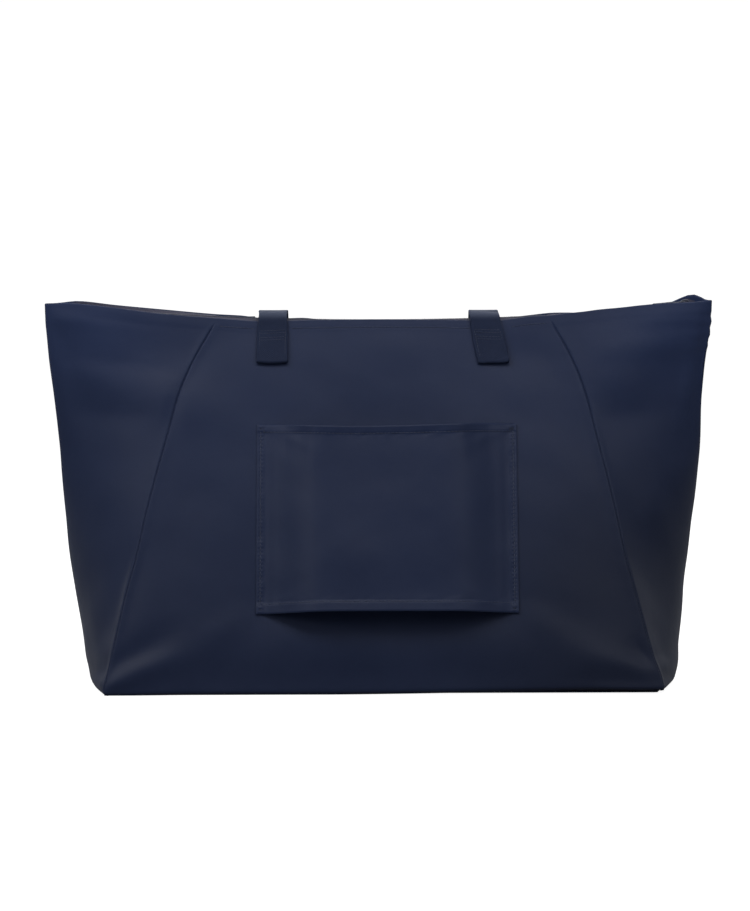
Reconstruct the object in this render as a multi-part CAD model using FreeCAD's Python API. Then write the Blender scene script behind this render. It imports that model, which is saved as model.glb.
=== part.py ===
import FreeCAD, Part
import math
import os

# Foldable travel tote with a trolley sleeve, millimetres.
# +Z up, origin on the ground under the middle of the bag. The sleeve side ("back") faces -Y,
# the plain side ("front") faces +Y, and +X is to the right when looking at the sleeve side.
# Both handles hang over the plain side.
os.makedirs("parts", exist_ok=True)
Vec = FreeCAD.Vector

# ---- driving sizes ---------------------------------------------------------
BASE_HALF = 221.0        # half length of the base along the long panels
BASE_BULGE = 15.0        # how far the short ends of the base bow outwards
DEPTH_HALF = 105.0       # half depth of the base
TOP_HALF = 272.5         # half width across the tips
SEAM_TOP = 135.0         # half width of a long panel at the mouth
MOUTH_HALF = 10.0        # half depth of the mouth strip
HEIGHT = 295.0           # height of the mouth edge at the middle
TIP_RISE = 12.5          # how much higher the tips stand than the middle

CLOTH = 0.8              # doubled coated cloth
PANEL_LOW = 1.4          # lower edge of the long and side panels
SEAM_GAP = 0.35          # long panel edge to the seam line
SIDE_SEAM_GAP = 0.2      # side panel edge to the seam line
BASE_GAP = 0.4           # inset of the base from its nominal outline
BASE_T = 1.0             # base thickness
BINDING_WIDTH = 10.0     # bindings on the long panels
BINDING_T = 1.4          # thickness of every binding

# ---- shape of the bag ------------------------------------------------------
MOUTH_R = (TOP_HALF ** 2 + TIP_RISE ** 2) / (2 * TIP_RISE)
MOUTH_CENTRE_Z = HEIGHT + MOUTH_R        # centre of the mouth curve
PANEL_LEN = math.hypot(DEPTH_HALF - MOUTH_HALF, HEIGHT)
LEAN_SIN = (DEPTH_HALF - MOUTH_HALF) / PANEL_LEN
LEAN_COS = HEIGHT / PANEL_LEN
LEAN = math.degrees(math.asin(LEAN_SIN))     # long panels off the vertical
SIDE_SIGN = {"back": -1, "front": 1}         # sign of Y

# (share of the height, x of the seam on the long panels)
SEAM = [(0.0, BASE_HALF), (0.14, 212.0), (0.27, 203.5), (0.35, 197.0), (0.46, 190.0),
        (0.57, 182.0), (0.67, 174.0), (0.79, 164.5), (0.89, 152.5), (1.0, SEAM_TOP)]
# (share of the height, x of the outer middle fold of the side panels)
EDGE = [(0.0, BASE_HALF + BASE_BULGE), (0.06, 240.5), (0.16, 245.0), (0.26, 250.0),
        (0.36, 253.5), (0.46, 256.5), (0.56, 259.0), (0.66, 262.0), (0.76, 265.0),
        (0.86, 268.5), (0.94, 271.5), (1.0, TOP_HALF)]
# (share of the height, roundness of the side panel's plan curve along X and along Y)
ROUND_X = [(0.0, 1.0), (0.72, 1.0), (0.9, 2.5), (1.0, 14.0)]
ROUND_Y = [(0.0, 2.0), (0.25, 1.6), (0.6, 1.3), (1.0, 1.1)]
# height shares of the sections through a side panel
SIDE_LEVELS = [0.0, 0.06, 0.13, 0.2, 0.28, 0.36, 0.44, 0.52,
               0.6, 0.68, 0.75, 0.82, 0.88, 0.93, 0.97, 1.0]


def top_z(x):
    """Height of the mouth curve at x."""
    return MOUTH_CENTRE_Z - math.sqrt(MOUTH_R ** 2 - x * x)


def linear(table, share):
    """Straight interpolation in a table."""
    for (start, low), (end, high) in zip(table, table[1:]):
        if share <= end:
            return low + (high - low) * (share - start) / (end - start)


def smooth(table, share):
    """Catmull-Rom interpolation in a table."""
    keys, values = zip(*table)
    i = max(j for j in range(len(keys) - 1) if keys[j] <= share)
    step = keys[i + 1] - keys[i]
    u = (share - keys[i]) / step

    def slope(j):
        before, after = max(j - 1, 0), min(j + 1, len(keys) - 1)
        return (values[after] - values[before]) / (keys[after] - keys[before])

    return ((2 * u ** 3 - 3 * u ** 2 + 1) * values[i]
            + (u ** 3 - 2 * u ** 2 + u) * slope(i) * step
            + (-2 * u ** 3 + 3 * u ** 2) * values[i + 1]
            + (u ** 3 - u ** 2) * slope(i + 1) * step)


def seam_on_panel(v):
    """Seam position at a distance v up a long panel."""
    return smooth(SEAM, v * LEAN_COS / top_z(SEAM_TOP))


def left_normals(points):
    """Unit normals to the left of the direction of travel, at each (x, y)."""
    normals = []
    for i in range(len(points)):
        before, after = points[max(i - 1, 0)], points[min(i + 1, len(points) - 1)]
        dx, dy = after[0] - before[0], after[1] - before[1]
        length = math.hypot(dx, dy)
        normals.append((-dy / length, dx / length))
    return normals


# ---- shape helpers ---------------------------------------------------------
def line(start, end):
    return Part.LineSegment(start, end).toShape()


def spline(points):
    curve = Part.BSplineCurve()
    curve.interpolate(points)
    return curve.toShape()


def prism(edges, direction):
    return Part.Face(Part.Wire(edges)).extrude(direction)


def ribbon(first, second, direction):
    """Prism on the area between two curves that run the same way."""
    return prism([spline(first), line(first[-1], second[-1]),
                  spline(second[::-1]), line(second[0], first[0])], direction)


def round_box(x0, x1, y0, y1, z0, z1, radius):
    """Box with its four upright edges rounded."""
    box = Part.makeBox(x1 - x0, y1 - y0, z1 - z0, Vec(x0, y0, z0))
    upright = [e for e in box.Edges if abs(e.tangentAt(e.FirstParameter).z) > 0.9]
    return box.makeFillet(radius, upright)


def mirrored(shape, normal):
    return shape.mirror(Vec(0, 0, 0), normal)


def place(shape, side):
    """Panel frame (u across, v up the panel, w outwards) to the bag frame.

    u runs to +X on the sleeve side and to -X on the plain side, so it stays right-handed.
    """
    sign = SIDE_SIGN[side]
    matrix = FreeCAD.Matrix(-sign, 0, 0, 0,
                            0, -sign * LEAN_SIN, sign * LEAN_COS, sign * DEPTH_HALF,
                            0, LEAN_COS, LEAN_SIN, 0,
                            0, 0, 0, 1)
    out = shape.copy()
    out.Placement = FreeCAD.Placement(matrix).multiply(out.Placement)
    return out


def save(shape, node):
    if len(shape.Solids) == 1 and shape.ShapeType != "Solid":
        shape = shape.Solids[0]
    assert shape.isValid(), node
    assert shape.Volume > 0, node
    shape.exportStep("parts/%s.step" % node)


def save_both_ends(right, name):
    """Save a piece from the +X end and its mirror image."""
    save(right, name + "_right")
    save(mirrored(right, Vec(1, 0, 0)), name + "_left")


# ---- long panels -----------------------------------------------------------
def long_panel():
    side_steps, top_steps = 12, 8
    high = top_z(SEAM_TOP) / LEAN_COS
    right = []
    for i in range(side_steps + 1):
        v = PANEL_LOW + (high - PANEL_LOW) * i / side_steps
        right.append(Vec(seam_on_panel(v) - SEAM_GAP, v, 0))
    left = [Vec(-p.x, p.y, 0) for p in right]
    corner_x = right[-1].x
    top = [right[-1]]
    for i in range(1, top_steps):
        x = corner_x - 2 * corner_x * i / top_steps
        top.append(Vec(x, top_z(x) / LEAN_COS, 0))
    top.append(left[-1])
    return prism([line(left[0], right[0]), spline(right), spline(top), spline(left[::-1])],
                 Vec(0, 0, -CLOTH))


for side in ("back", "front"):
    save(place(long_panel(), side), side + "_panel")


# ---- side panels -----------------------------------------------------------
def side_curve(share, count):
    """Plan curve of the +X side panel from its +Y seam to the middle fold.

    Returns evenly spaced (x, y, normal x, normal y), normals pointing out of the bag.
    """
    seam = smooth(SEAM, share) + SIDE_SEAM_GAP
    fold = smooth(EDGE, share)
    depth = DEPTH_HALF + (MOUTH_HALF - DEPTH_HALF) * share - 1.5 + 0.6 * share
    round_x, round_y = linear(ROUND_X, share), linear(ROUND_Y, share)
    steps = 400
    dense = []
    for i in range(steps):
        phi = math.pi / 2 * i / steps
        dense.append((seam + (fold - seam) * math.sin(phi) ** (2.0 / round_x),
                      depth * math.cos(phi) ** (2.0 / round_y)))
    dense.append((fold, 0.0))
    run = [0.0]                  # length along the dense curve
    for (x0, y0), (x1, y1) in zip(dense, dense[1:]):
        run.append(run[-1] + math.hypot(x1 - x0, y1 - y0))
    points = []
    j = 0
    for i in range(count - 1):
        target = run[-1] * i / (count - 1)
        while run[j + 1] < target:
            j += 1
        part = (target - run[j]) / (run[j + 1] - run[j])
        (x0, y0), (x1, y1) = dense[j], dense[j + 1]
        points.append((x0 + (x1 - x0) * part, y0 + (y1 - y0) * part))
    points.append(dense[-1])
    return [p + normal for p, normal in zip(points, left_normals(points))]


def side_sections():
    """Point grids of the outer and inner faces of a side panel, for y >= 0."""
    outer, inner = [], []
    for share in SIDE_LEVELS:
        outer_row, inner_row = [], []
        curve = side_curve(share, 17)
        for x, y, nx, ny in curve[:-1]:
            z = PANEL_LOW + (top_z(x) - PANEL_LOW) * share
            outer_row.append(Vec(x, max(y, 0.02), z))
            inner_row.append(Vec(x - CLOTH * nx, max(y - CLOTH * ny, 0.01), z))
        # at the fold both halves meet on the middle plane
        x, _, nx, _ = curve[-1]
        z = PANEL_LOW + (top_z(x) - PANEL_LOW) * share
        stretch = min(1.0 / max(nx, 0.35), 2.2)
        outer_row.append(Vec(x, 0, z))
        inner_row.append(Vec(x - CLOTH * stretch, 0, z))
        outer.append(outer_row)
        inner.append(inner_row)
    return outer, inner


def rim(surface):
    """The four boundary edges of a surface."""
    u0, u1, v0, v1 = surface.bounds()
    curves = (surface.vIso(v0), surface.vIso(v1), surface.uIso(u0), surface.uIso(u1))
    return [c.toShape() for c in curves]


def side_panel():
    surfaces = []
    for grid in side_sections():
        surface = Part.BSplineSurface()
        surface.interpolate(grid)
        surfaces.append(surface)
    outer, inner = surfaces
    faces = [outer.toShape(), inner.toShape()]
    for outer_edge, inner_edge in zip(rim(outer), rim(inner)):
        faces.append(Part.makeRuledSurface(outer_edge, inner_edge))
    shell = Part.Shell(faces)
    shell.sewShape()
    half = Part.Solid(shell)
    if half.Volume < 0:
        half.reverse()
    return half.fuse(mirrored(half, Vec(0, 1, 0))).removeSplitter()


save_both_ends(side_panel(), "side_panel")


# ---- bindings along the short base edges -----------------------------------
def base_side_binding():
    """Bound seam allowance standing along the inside of a short base edge."""
    low, tall = 4.0, 9.0
    offset = 3.0                 # side panel face to the binding
    reach = 92.0                 # the strip stops at this |y|
    curve = [c for c in side_curve(0.012, 60) if c[1] <= reach]
    half = curve[::4]
    if half[-1] is not curve[-1]:
        half.append(curve[-1])
    full = half + [(x, -y, nx, -ny) for x, y, nx, ny in half[-2::-1]]
    middle = len(half) - 1
    rows = []
    for inset in (offset, offset + BINDING_T):
        row = [Vec(x - inset * nx, y - inset * ny, low) for x, y, nx, ny in full]
        row[middle] = Vec(full[middle][0] - inset, 0, low)
        rows.append(row)
    return ribbon(rows[0], rows[1], Vec(0, 0, tall))


save_both_ends(base_side_binding(), "binding_base")


# ---- base ------------------------------------------------------------------
def bottom_panel():
    end_x, bow_x = BASE_HALF - BASE_GAP, BASE_HALF + BASE_BULGE - BASE_GAP
    edge_y = DEPTH_HALF - BASE_GAP
    right = [Vec(end_x, -edge_y, 0), Vec(bow_x, 0, 0), Vec(end_x, edge_y, 0)]
    left = [Vec(-p.x, p.y, 0) for p in right]
    return prism([line(left[0], right[0]), Part.Arc(*right).toShape(),
                  line(right[2], left[2]), Part.Arc(*left[::-1]).toShape()],
                 Vec(0, 0, BASE_T))


save(bottom_panel(), "bottom_panel")


# ---- bindings on the long panels -------------------------------------------
def seam_binding(sign):
    """Strip inside a long panel, along the seam on the given side of u."""
    low, high, steps = 4.0, 298.0, 10
    inset, face = 2.2, -1.2      # from the seam line; outer face of the strip along w
    outer, inner = [], []
    for i in range(steps + 1):
        v = low + (high - low) * i / steps
        x = seam_on_panel(v) - inset
        outer.append(Vec(sign * x, v, face))
        inner.append(Vec(sign * (x - BINDING_WIDTH), v, face))
    return ribbon(outer, inner, Vec(0, 0, -BINDING_T))


def base_binding():
    """Straight strip inside a long panel, along the base."""
    length, low, inner_face = 408.0, 3.0, -4.2
    return Part.makeBox(length, BINDING_WIDTH, BINDING_T, Vec(-length / 2, low, inner_face))


for side in ("back", "front"):
    right_sign = -SIDE_SIGN[side]
    save(place(seam_binding(right_sign), side), "binding_%s_right" % side)
    save(place(seam_binding(-right_sign), side), "binding_%s_left" % side)
    save(place(base_binding(), side), "binding_base_%s" % side)

# ---- trolley sleeve --------------------------------------------------------
SLEEVE_X = 3.0           # middle of the sleeve
SLEEVE_V = (64.0, 220.0)     # lower and upper ends up the panel
SLEEVE_T = 1.0
# (distance from the middle, inner face off the panel), middle to one side
SLEEVE_PROFILE = [(0, 23.0), (36, 22.7), (56, 21.8), (68, 18.6), (78, 12.0), (88, 4.4),
                  (93, 1.7), (96, 0.7), (99, 0.35), (102, 0.3), (105, 0.3)]


def trolley_sleeve():
    low, high = SLEEVE_V
    profile = [(-x, w) for x, w in SLEEVE_PROFILE[:0:-1]] + SLEEVE_PROFILE
    inner = [Vec(SLEEVE_X + x, low, w) for x, w in profile]
    outer = [Vec(SLEEVE_X + x + nx * SLEEVE_T, low, w + nw * SLEEVE_T)
             for (x, w), (nx, nw) in zip(profile, left_normals(profile))]
    return ribbon(inner, outer, Vec(0, high - low, 0))


save(place(trolley_sleeve(), "back"), "trolley_sleeve")

# ---- handles ---------------------------------------------------------------
WEB = 25.4               # webbing width
WEB_T = 1.4              # webbing thickness
BEND_Z = 303.0           # height at which a strap bends over the mouth
BEND_OUT = 2.9           # how far that bend stands off the panel face
BEND_GAP = 1.3           # clearance between a bend and the strap pieces that start there
FOLD = 20.4              # strap length from its first bend to the loop
HANG = LEAN - 90.0       # direction down the plain-side panel, degrees above +Y
REST = HANG + 3.0        # the plain-side handle hangs clear of its tabs
BEND_V = (BEND_Z - BEND_OUT * LEAN_SIN) / LEAN_COS               # bend up the panel
BEND_Y = DEPTH_HALF - BEND_V * LEAN_SIN + BEND_OUT * LEAN_COS    # bend off the middle plane


def tab(x):
    """Webbing flat on the panel, with its lower end turned over."""
    low, turn, end_gap, face = 274.0, 8.0, 1.6, 0.25
    flat = Part.makeBox(WEB, BEND_V - end_gap - low, WEB_T, Vec(x - WEB / 2, low, face))
    turned = Part.makeBox(WEB, turn, WEB_T + 0.2, Vec(x - WEB / 2, low, face + WEB_T))
    return flat.fuse(turned).removeSplitter()


def strap_fold(x):
    """Strap from the first bend to the loop, along +Y from the origin."""
    return Part.makeBox(WEB, FOLD - 2 * BEND_GAP, WEB_T, Vec(x - WEB / 2, BEND_GAP, -WEB_T / 2))


def loop_stations(half_width, leg, arch):
    """(centre, direction, twist) along a loop, up one leg, round the arch and back."""
    leg_steps, arch_steps = 12, 22
    twist_start = 16.0
    first_leg = []
    for i in range(leg_steps):
        y = BEND_GAP + (leg - BEND_GAP) * i / leg_steps
        u = min(max((y - twist_start) / (leg - twist_start), 0.0), 1.0)
        twist = math.pi / 2 * (3 * u * u - 2 * u ** 3)
        first_leg.append((Vec(-half_width, y, 0), Vec(0, 1, 0), twist))
    curve = []
    for i in range(arch_steps + 1):
        phi = math.pi * i / arch_steps
        centre = Vec(-half_width * math.cos(phi), leg + arch * math.sin(phi), 0)
        along = Vec(half_width * math.sin(phi), arch * math.cos(phi), 0)
        along.normalize()
        curve.append((centre, along, math.pi / 2))
    last_leg = [(Vec(-centre.x, centre.y, 0), Vec(0, -1, 0), math.pi - twist)
                for centre, _, twist in first_leg[::-1]]
    return first_leg + curve + last_leg


def handle_loop(half_width, leg, arch):
    """U of webbing that twists on edge; runs along +Y, +Z is away from the bag."""
    up = Vec(0, 0, 1)
    wires = []
    for centre, along, twist in loop_stations(half_width, leg, arch):
        across = along.cross(up) * math.cos(twist) + up * math.sin(twist)
        middle = centre + up * (WEB / 2 * math.sin(twist))
        wide, thick = across * (WEB / 2), across.cross(along) * (WEB_T / 2)
        wires.append(Part.makePolygon([
            middle - wide - thick, middle + wide - thick, middle + wide + thick,
            middle - wide + thick, middle - wide - thick]))
    return Part.makeLoft(wires, True, False)


def at_bend(shape, y, z, angle):
    """Put a strap piece at a bend, running at an angle in degrees above +Y."""
    out = shape.copy()
    out.rotate(Vec(0, 0, 0), Vec(1, 0, 0), angle)
    out.translate(Vec(0, y, z))
    return out


def save_handle(side, strap_x, leg, arch, fold_angle, loop_angle):
    sign = SIDE_SIGN[side]
    bend_y = sign * BEND_Y
    for x, name in ((-strap_x, "left"), (strap_x, "right")):
        save(place(tab(-sign * x), side), "%s_tab_%s" % (side, name))
        save(at_bend(strap_fold(x), bend_y, BEND_Z, fold_angle),
             "%s_strap_fold_%s" % (side, name))
    loop_y = bend_y + FOLD * math.cos(math.radians(fold_angle))
    loop_z = BEND_Z + FOLD * math.sin(math.radians(fold_angle))
    save(at_bend(handle_loop(strap_x, leg, arch), loop_y, loop_z, loop_angle),
         side + "_handle_loop")


# the sleeve-side straps cross the mouth level before their loop hangs down
save_handle("back", strap_x=90.0, leg=105.0, arch=103.0, fold_angle=0, loop_angle=HANG)
save_handle("front", strap_x=118.0, leg=106.0, arch=127.0, fold_angle=REST, loop_angle=REST)

# ---- mouth zip -------------------------------------------------------------
ZIP_Z = 293.0            # height at the middle
ZIP_R = MOUTH_CENTRE_Z - ZIP_Z
ZIP_END = 256.0          # half length of the zip tapes
ZIP_PARK = 247.0         # slider position when closed
COIL = (0.5, 2.6)        # near and far edges from the zip's centre line
COIL_HALF_T = 1.1
TAPE_NEAR = 3.0
TAPE_HALF_T = 0.25


def zip_strip(sign, near, far, half_t, end_x):
    """Strip along the mouth curve between +-end_x, on one side of the middle plane."""
    angle = math.degrees(math.asin(end_x / ZIP_R))
    y0, y1 = sorted((sign * near, sign * far))
    low, high = ZIP_Z - half_t, ZIP_Z + half_t
    corners = [Vec(0, y0, low), Vec(0, y1, low), Vec(0, y1, high), Vec(0, y0, high)]
    section = Part.Face(Part.makePolygon(corners + [corners[0]]))
    centre = Vec(0, 0, MOUTH_CENTRE_Z)
    section.rotate(centre, Vec(0, 1, 0), angle)
    return section.revolve(centre, Vec(0, -1, 0), 2 * angle)


def slider():
    """Zip slider about the origin: zip along X, bridge on +Z."""
    half_length, half_width = 6.0, 4.6
    inner_z, outer_z = 1.5, 2.6          # faces of the two plates
    wall_length, wall_t, wall_tall = 7.6, 1.1, 0.95
    plate = (-half_length, half_length, -half_width, half_width)
    out = round_box(*plate, inner_z, outer_z, 2.0)
    out = out.fuse(round_box(*plate, -outer_z, -inner_z, 2.0))
    for y in (-half_width, half_width - wall_t):
        for z in (0.6, -1.55):
            out = out.fuse(Part.makeBox(wall_length, wall_t, wall_tall,
                                        Vec(-wall_length / 2, y, z)))
    divider = Part.makeBox(3.0, 0.6, 3.2, Vec(2.2, -0.3, -1.6))
    out = out.fuse(divider)
    bridge = Part.makeBox(9.0, 2.0, 4.0, Vec(-4.5, -1.0, 2.4))
    crown = [e for e in bridge.Edges
             if abs(e.tangentAt(e.FirstParameter).y) > 0.9 and e.CenterOfMass.z > 5]
    bridge = bridge.makeFillet(1.2, crown)
    bridge = bridge.cut(Part.makeBox(6.6, 4.0, 2.8, Vec(-3.3, -2.0, 2.6)))
    return out.fuse(bridge).removeSplitter()


def pull(length):
    """Pull tab lying towards -X, its bar through the slider's bridge."""
    z, half_t = 4.1, 0.7
    bar_half, arm_length, arm_width = 3.0, 7.2, 1.6
    out = Part.makeCylinder(half_t, 2 * bar_half, Vec(0, -bar_half, z), Vec(0, 1, 0))
    for y in (-bar_half, bar_half - arm_width):
        out = out.fuse(Part.makeBox(arm_length, arm_width, 2 * half_t,
                                    Vec(-arm_length, y, z - half_t)))
    grip = round_box(-length, -6.6, -3.6, 3.6, z - half_t, z + half_t, 1.6)
    slot = round_box(-length + 3.0, -length + 9.0, -1.3, 1.3, z - 2, z + 2, 1.2)
    return out.fuse(grip.cut(slot)).removeSplitter()


def on_zip(shape, x):
    """Move a piece from the origin onto the mouth zip at x."""
    out = shape.copy()
    out.translate(Vec(0, 0, ZIP_Z))
    out.rotate(Vec(0, 0, MOUTH_CENTRE_Z), Vec(0, 1, 0), -math.degrees(math.asin(x / ZIP_R)))
    return out


for side, sign in SIDE_SIGN.items():
    save(zip_strip(sign, TAPE_NEAR, 6.8, TAPE_HALF_T, ZIP_END), "zip_tape_" + side)
    save(zip_strip(sign, *COIL, COIL_HALF_T, ZIP_END - 2), "zip_coil_" + side)
save(on_zip(slider(), ZIP_PARK), "zip_slider")
save(on_zip(pull(30.0), ZIP_PARK), "zip_pull")
end_tab = round_box(-3.9, 4.5, -5.0, 5.0, -1.5, 1.5, 2.0)
save_both_ends(on_zip(end_tab, ZIP_END + 4.5), "zip_end_tab")

# ---- inside pocket, which is also the storage pouch ------------------------
POCKET_HALF = 100.0
POCKET_V = (70.0, 226.0)     # lower and upper edges up the panel
POCKET_T = 0.6
POCKET_W = -2.6          # inner face of the pocket cloth along w
POCKET_ZIP_V = 240.0     # pocket zip up the panel
POCKET_ZIP_W = -5.2      # its plane, inside the panel
POCKET_PARK = 84.0       # slider position


def pocket_panel():
    low, high = POCKET_V
    return Part.makeBox(2 * POCKET_HALF, high - low, POCKET_T, Vec(-POCKET_HALF, low, POCKET_W))


def pocket_strip(sign, near, far, half_t, half_length):
    """Straight zip strip below or above the centre line of the pocket zip."""
    low, high = sorted((POCKET_ZIP_V + sign * near, POCKET_ZIP_V + sign * far))
    return Part.makeBox(2 * half_length, high - low, 2 * half_t,
                        Vec(-half_length, low, POCKET_ZIP_W - half_t))


def on_pocket_zip(shape):
    """Turn a slider piece to face the inside of the bag and put it on the pocket zip."""
    out = shape.copy()
    out.rotate(Vec(0, 0, 0), Vec(1, 0, 0), 180)
    out.translate(Vec(POCKET_PARK, POCKET_ZIP_V, POCKET_ZIP_W))
    return place(out, "back")


save(place(pocket_panel(), "back"), "pocket_panel")
for name, sign in (("lower", -1), ("upper", 1)):
    tape = pocket_strip(sign, TAPE_NEAR, 12.0, TAPE_HALF_T, POCKET_HALF - 2)
    coil = pocket_strip(sign, *COIL, COIL_HALF_T, POCKET_HALF - 4)
    save(place(tape, "back"), "pocket_tape_" + name)
    save(place(coil, "back"), "pocket_coil_" + name)
save(on_pocket_zip(slider()), "pocket_slider")
save(on_pocket_zip(pull(24.0)), "pocket_pull")
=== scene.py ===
# A soft navy tote bag with a zipped mouth, two webbing handles and a sleeve on one long side.
# x runs across the bag, y through its depth and z up; the foot rests on z = 0 and the bag is
# centred near x = y = 0. The back panel, which carries the sleeve, faces -y and the camera; the
# front panel faces +y. Left is -x. Both handles fall down the +y side.
# Geometry is worked out in mm; Blender's own values (lights, camera, textures) are in metres.
import math
import bmesh
import bpy
import numpy as np
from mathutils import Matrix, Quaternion, Vector


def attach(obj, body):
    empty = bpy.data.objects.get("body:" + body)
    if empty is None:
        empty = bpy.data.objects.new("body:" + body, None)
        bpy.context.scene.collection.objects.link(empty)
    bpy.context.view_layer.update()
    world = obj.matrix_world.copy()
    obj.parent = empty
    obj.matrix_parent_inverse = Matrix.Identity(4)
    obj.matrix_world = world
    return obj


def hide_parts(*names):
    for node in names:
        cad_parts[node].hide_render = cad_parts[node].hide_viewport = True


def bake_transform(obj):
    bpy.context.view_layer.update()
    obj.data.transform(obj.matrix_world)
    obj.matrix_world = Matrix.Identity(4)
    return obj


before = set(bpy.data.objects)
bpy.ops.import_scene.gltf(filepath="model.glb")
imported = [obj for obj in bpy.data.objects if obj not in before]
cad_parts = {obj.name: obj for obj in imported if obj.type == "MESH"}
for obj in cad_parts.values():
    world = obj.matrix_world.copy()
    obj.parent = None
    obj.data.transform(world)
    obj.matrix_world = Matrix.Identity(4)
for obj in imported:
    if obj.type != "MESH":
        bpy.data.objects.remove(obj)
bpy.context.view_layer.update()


MM = 0.001

# ---------------------------------------------------------------- driving sizes (mm)
FOOT_DEPTH, MOUTH_DEPTH = 105.0, 10.0        # half depths at the foot and at the mouth
HEIGHT = 295.0                               # of the mouth, at the middle of the bag
MOUTH_RISE, MOUTH_HALF_WIDTH = 12.5, 272.5   # the mouth is an arc that rises to both ends
ARC_Z = HEIGHT + (MOUTH_HALF_WIDTH ** 2 + MOUTH_RISE ** 2) / (2 * MOUTH_RISE)   # arc centre
PANEL_LENGTH = math.hypot(FOOT_DEPTH - MOUTH_DEPTH, HEIGHT)
LEAN_SIN, LEAN_COS = (FOOT_DEPTH - MOUTH_DEPTH) / PANEL_LENGTH, HEIGHT / PANEL_LENGTH
ZIP_Z = 293.0
WEB_WIDTH = 25.4
FOOT_RADIUS = 4.0
CLOTH_THICK = 1.1

# Sides of the bag, used as indices
BACK, FRONT, END = 0, 1, 2
OUT = (-1.0, 1.0)             # direction of y away from the bag
TAGS = ("back", "front")      # in object names
BODIES = ("bag", "front")     # body that each long panel moves with
LEFT_RIGHT = ((-1, "left"), (1, "right"))

# Half width of the long panels at their seams: (share of height, x)
SEAM = np.array([
    (0.0, 221.0), (0.14, 212.0), (0.27, 203.5), (0.35, 197.0), (0.46, 190.0),
    (0.57, 182.0), (0.67, 174.0), (0.79, 164.5), (0.89, 152.5), (1.0, 135.0)])
# Half width of the bag at the middle of its ends: (share of height, x)
END_FOLD = np.array([
    (0.0, 236.0), (0.06, 240.5), (0.16, 245.0), (0.26, 250.0), (0.36, 253.5), (0.46, 256.5),
    (0.56, 259.0), (0.66, 262.0), (0.76, 265.0), (0.86, 268.5), (0.94, 271.5), (1.0, 272.5)])

# How far each mouth edge sags or stands up from the even arc: (x, dz)
BACK_RIM = np.array([
    (-275, -1.2), (-268, -0.2), (-248, 1.6), (-215, 0.5), (-182, -1.9), (-137, -3.4),
    (-102, -4.7), (-88, -4.4), (-68, -3.2), (-42, -2.3), (0, -1.8), (46, -2.6), (75, -3.9),
    (97, -4.3), (120, -2.2), (137, -2.0), (151, -1.1), (164, -0.6), (177, 0.3), (197, 0.7),
    (214, 1.3), (235, 1.3), (250, 0.5), (262, 0.2), (275, 0.2)])
FRONT_RIM = np.array([
    (-275, -1.2), (-262, 0.4), (-245, 3.2), (-216, 2.1), (-180, 0.8), (-138, -1.0),
    (-114, -1.5), (-100, -3.2), (-77, -2.5), (-64, -2.0), (-50, -3.2), (-20, -4.0), (30, -4.2),
    (70, -4.6), (98, -3.7), (120, -2.0), (137, -0.9), (150, -1.3), (168, -2.4), (200, -2.8),
    (226, -2.0), (237, 0.2), (247, 3.9), (256, 6.2), (262, 4.6), (268, 1.0), (275, 0.2)])

# Soft folds: start (x, z), end (x, z), width, height, share of the height dug out beside it
BACK_FOLDS = [
    ((-231, 2), (-150, 36), 9.0, 2.6, 0.7),
    ((-222, 30), (-198, 120), 10.0, -1.6, 0.0),
    ((-262, 262), (-120, 212), 22.0, 2.4, 0.5),
    ((-268, 296), (-190, 268), 13.0, 1.5, 0.4),
    ((231, 1), (196, 44), 5.0, -2.2, -0.5),
    ((228, 12), (150, 30), 10.0, 1.8, 0.4),
    ((266, 286), (150, 232), 20.0, 1.9, 0.5),
    ((262, 190), (214, 120), 18.0, 1.7, 0.3),
    ((262, 300), (248, 205), 6.0, 1.3, 0.6),
    ((-266, 285), (-252, 190), 8.0, 1.0, 0.5),
    ((-112, 64), (-170, 10), 14.0, 1.2, 0.3),
    ((112, 64), (180, 12), 14.0, 1.2, 0.3),
]
FRONT_FOLDS = [
    ((-228, 4), (-140, 50), 10.0, 2.4, 0.6),
    ((228, 3), (150, 46), 9.0, 2.4, 0.6),
    ((-262, 270), (-150, 225), 20.0, 2.2, 0.5),
    ((264, 280), (150, 215), 20.0, 2.2, 0.5),
    ((-60, 20), (60, 34), 14.0, 1.2, 0.4),
]


# ---------------------------------------------------------------- curves and noise
def ease(start, end, x):
    """Smooth step from 0 at start to 1 at end."""
    u = np.clip((np.asarray(x, float) - start) / (end - start), 0, 1)
    return u * u * (3 - 2 * u)


def bell(x, width):
    return np.exp(-(x / width) ** 2)


def spline(table, at):
    """Smooth curve through a table of (place, value), held level past its ends."""
    places, values = table.T
    at = np.clip(np.asarray(at, float), places[0], places[-1])
    i = np.clip(np.searchsorted(places, at, side="right") - 1, 0, len(places) - 2)
    slope = np.empty(len(places))
    slope[1:-1] = (values[2:] - values[:-2]) / (places[2:] - places[:-2])
    slope[0] = (values[1] - values[0]) / (places[1] - places[0])
    slope[-1] = (values[-1] - values[-2]) / (places[-1] - places[-2])
    step = places[i + 1] - places[i]
    u = (at - places[i]) / step
    return ((2 * u ** 3 - 3 * u ** 2 + 1) * values[i]
            + (u ** 3 - 2 * u ** 2 + u) * slope[i] * step
            + (-2 * u ** 3 + 3 * u ** 2) * values[i + 1]
            + (u ** 3 - u ** 2) * slope[i + 1] * step)


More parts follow.
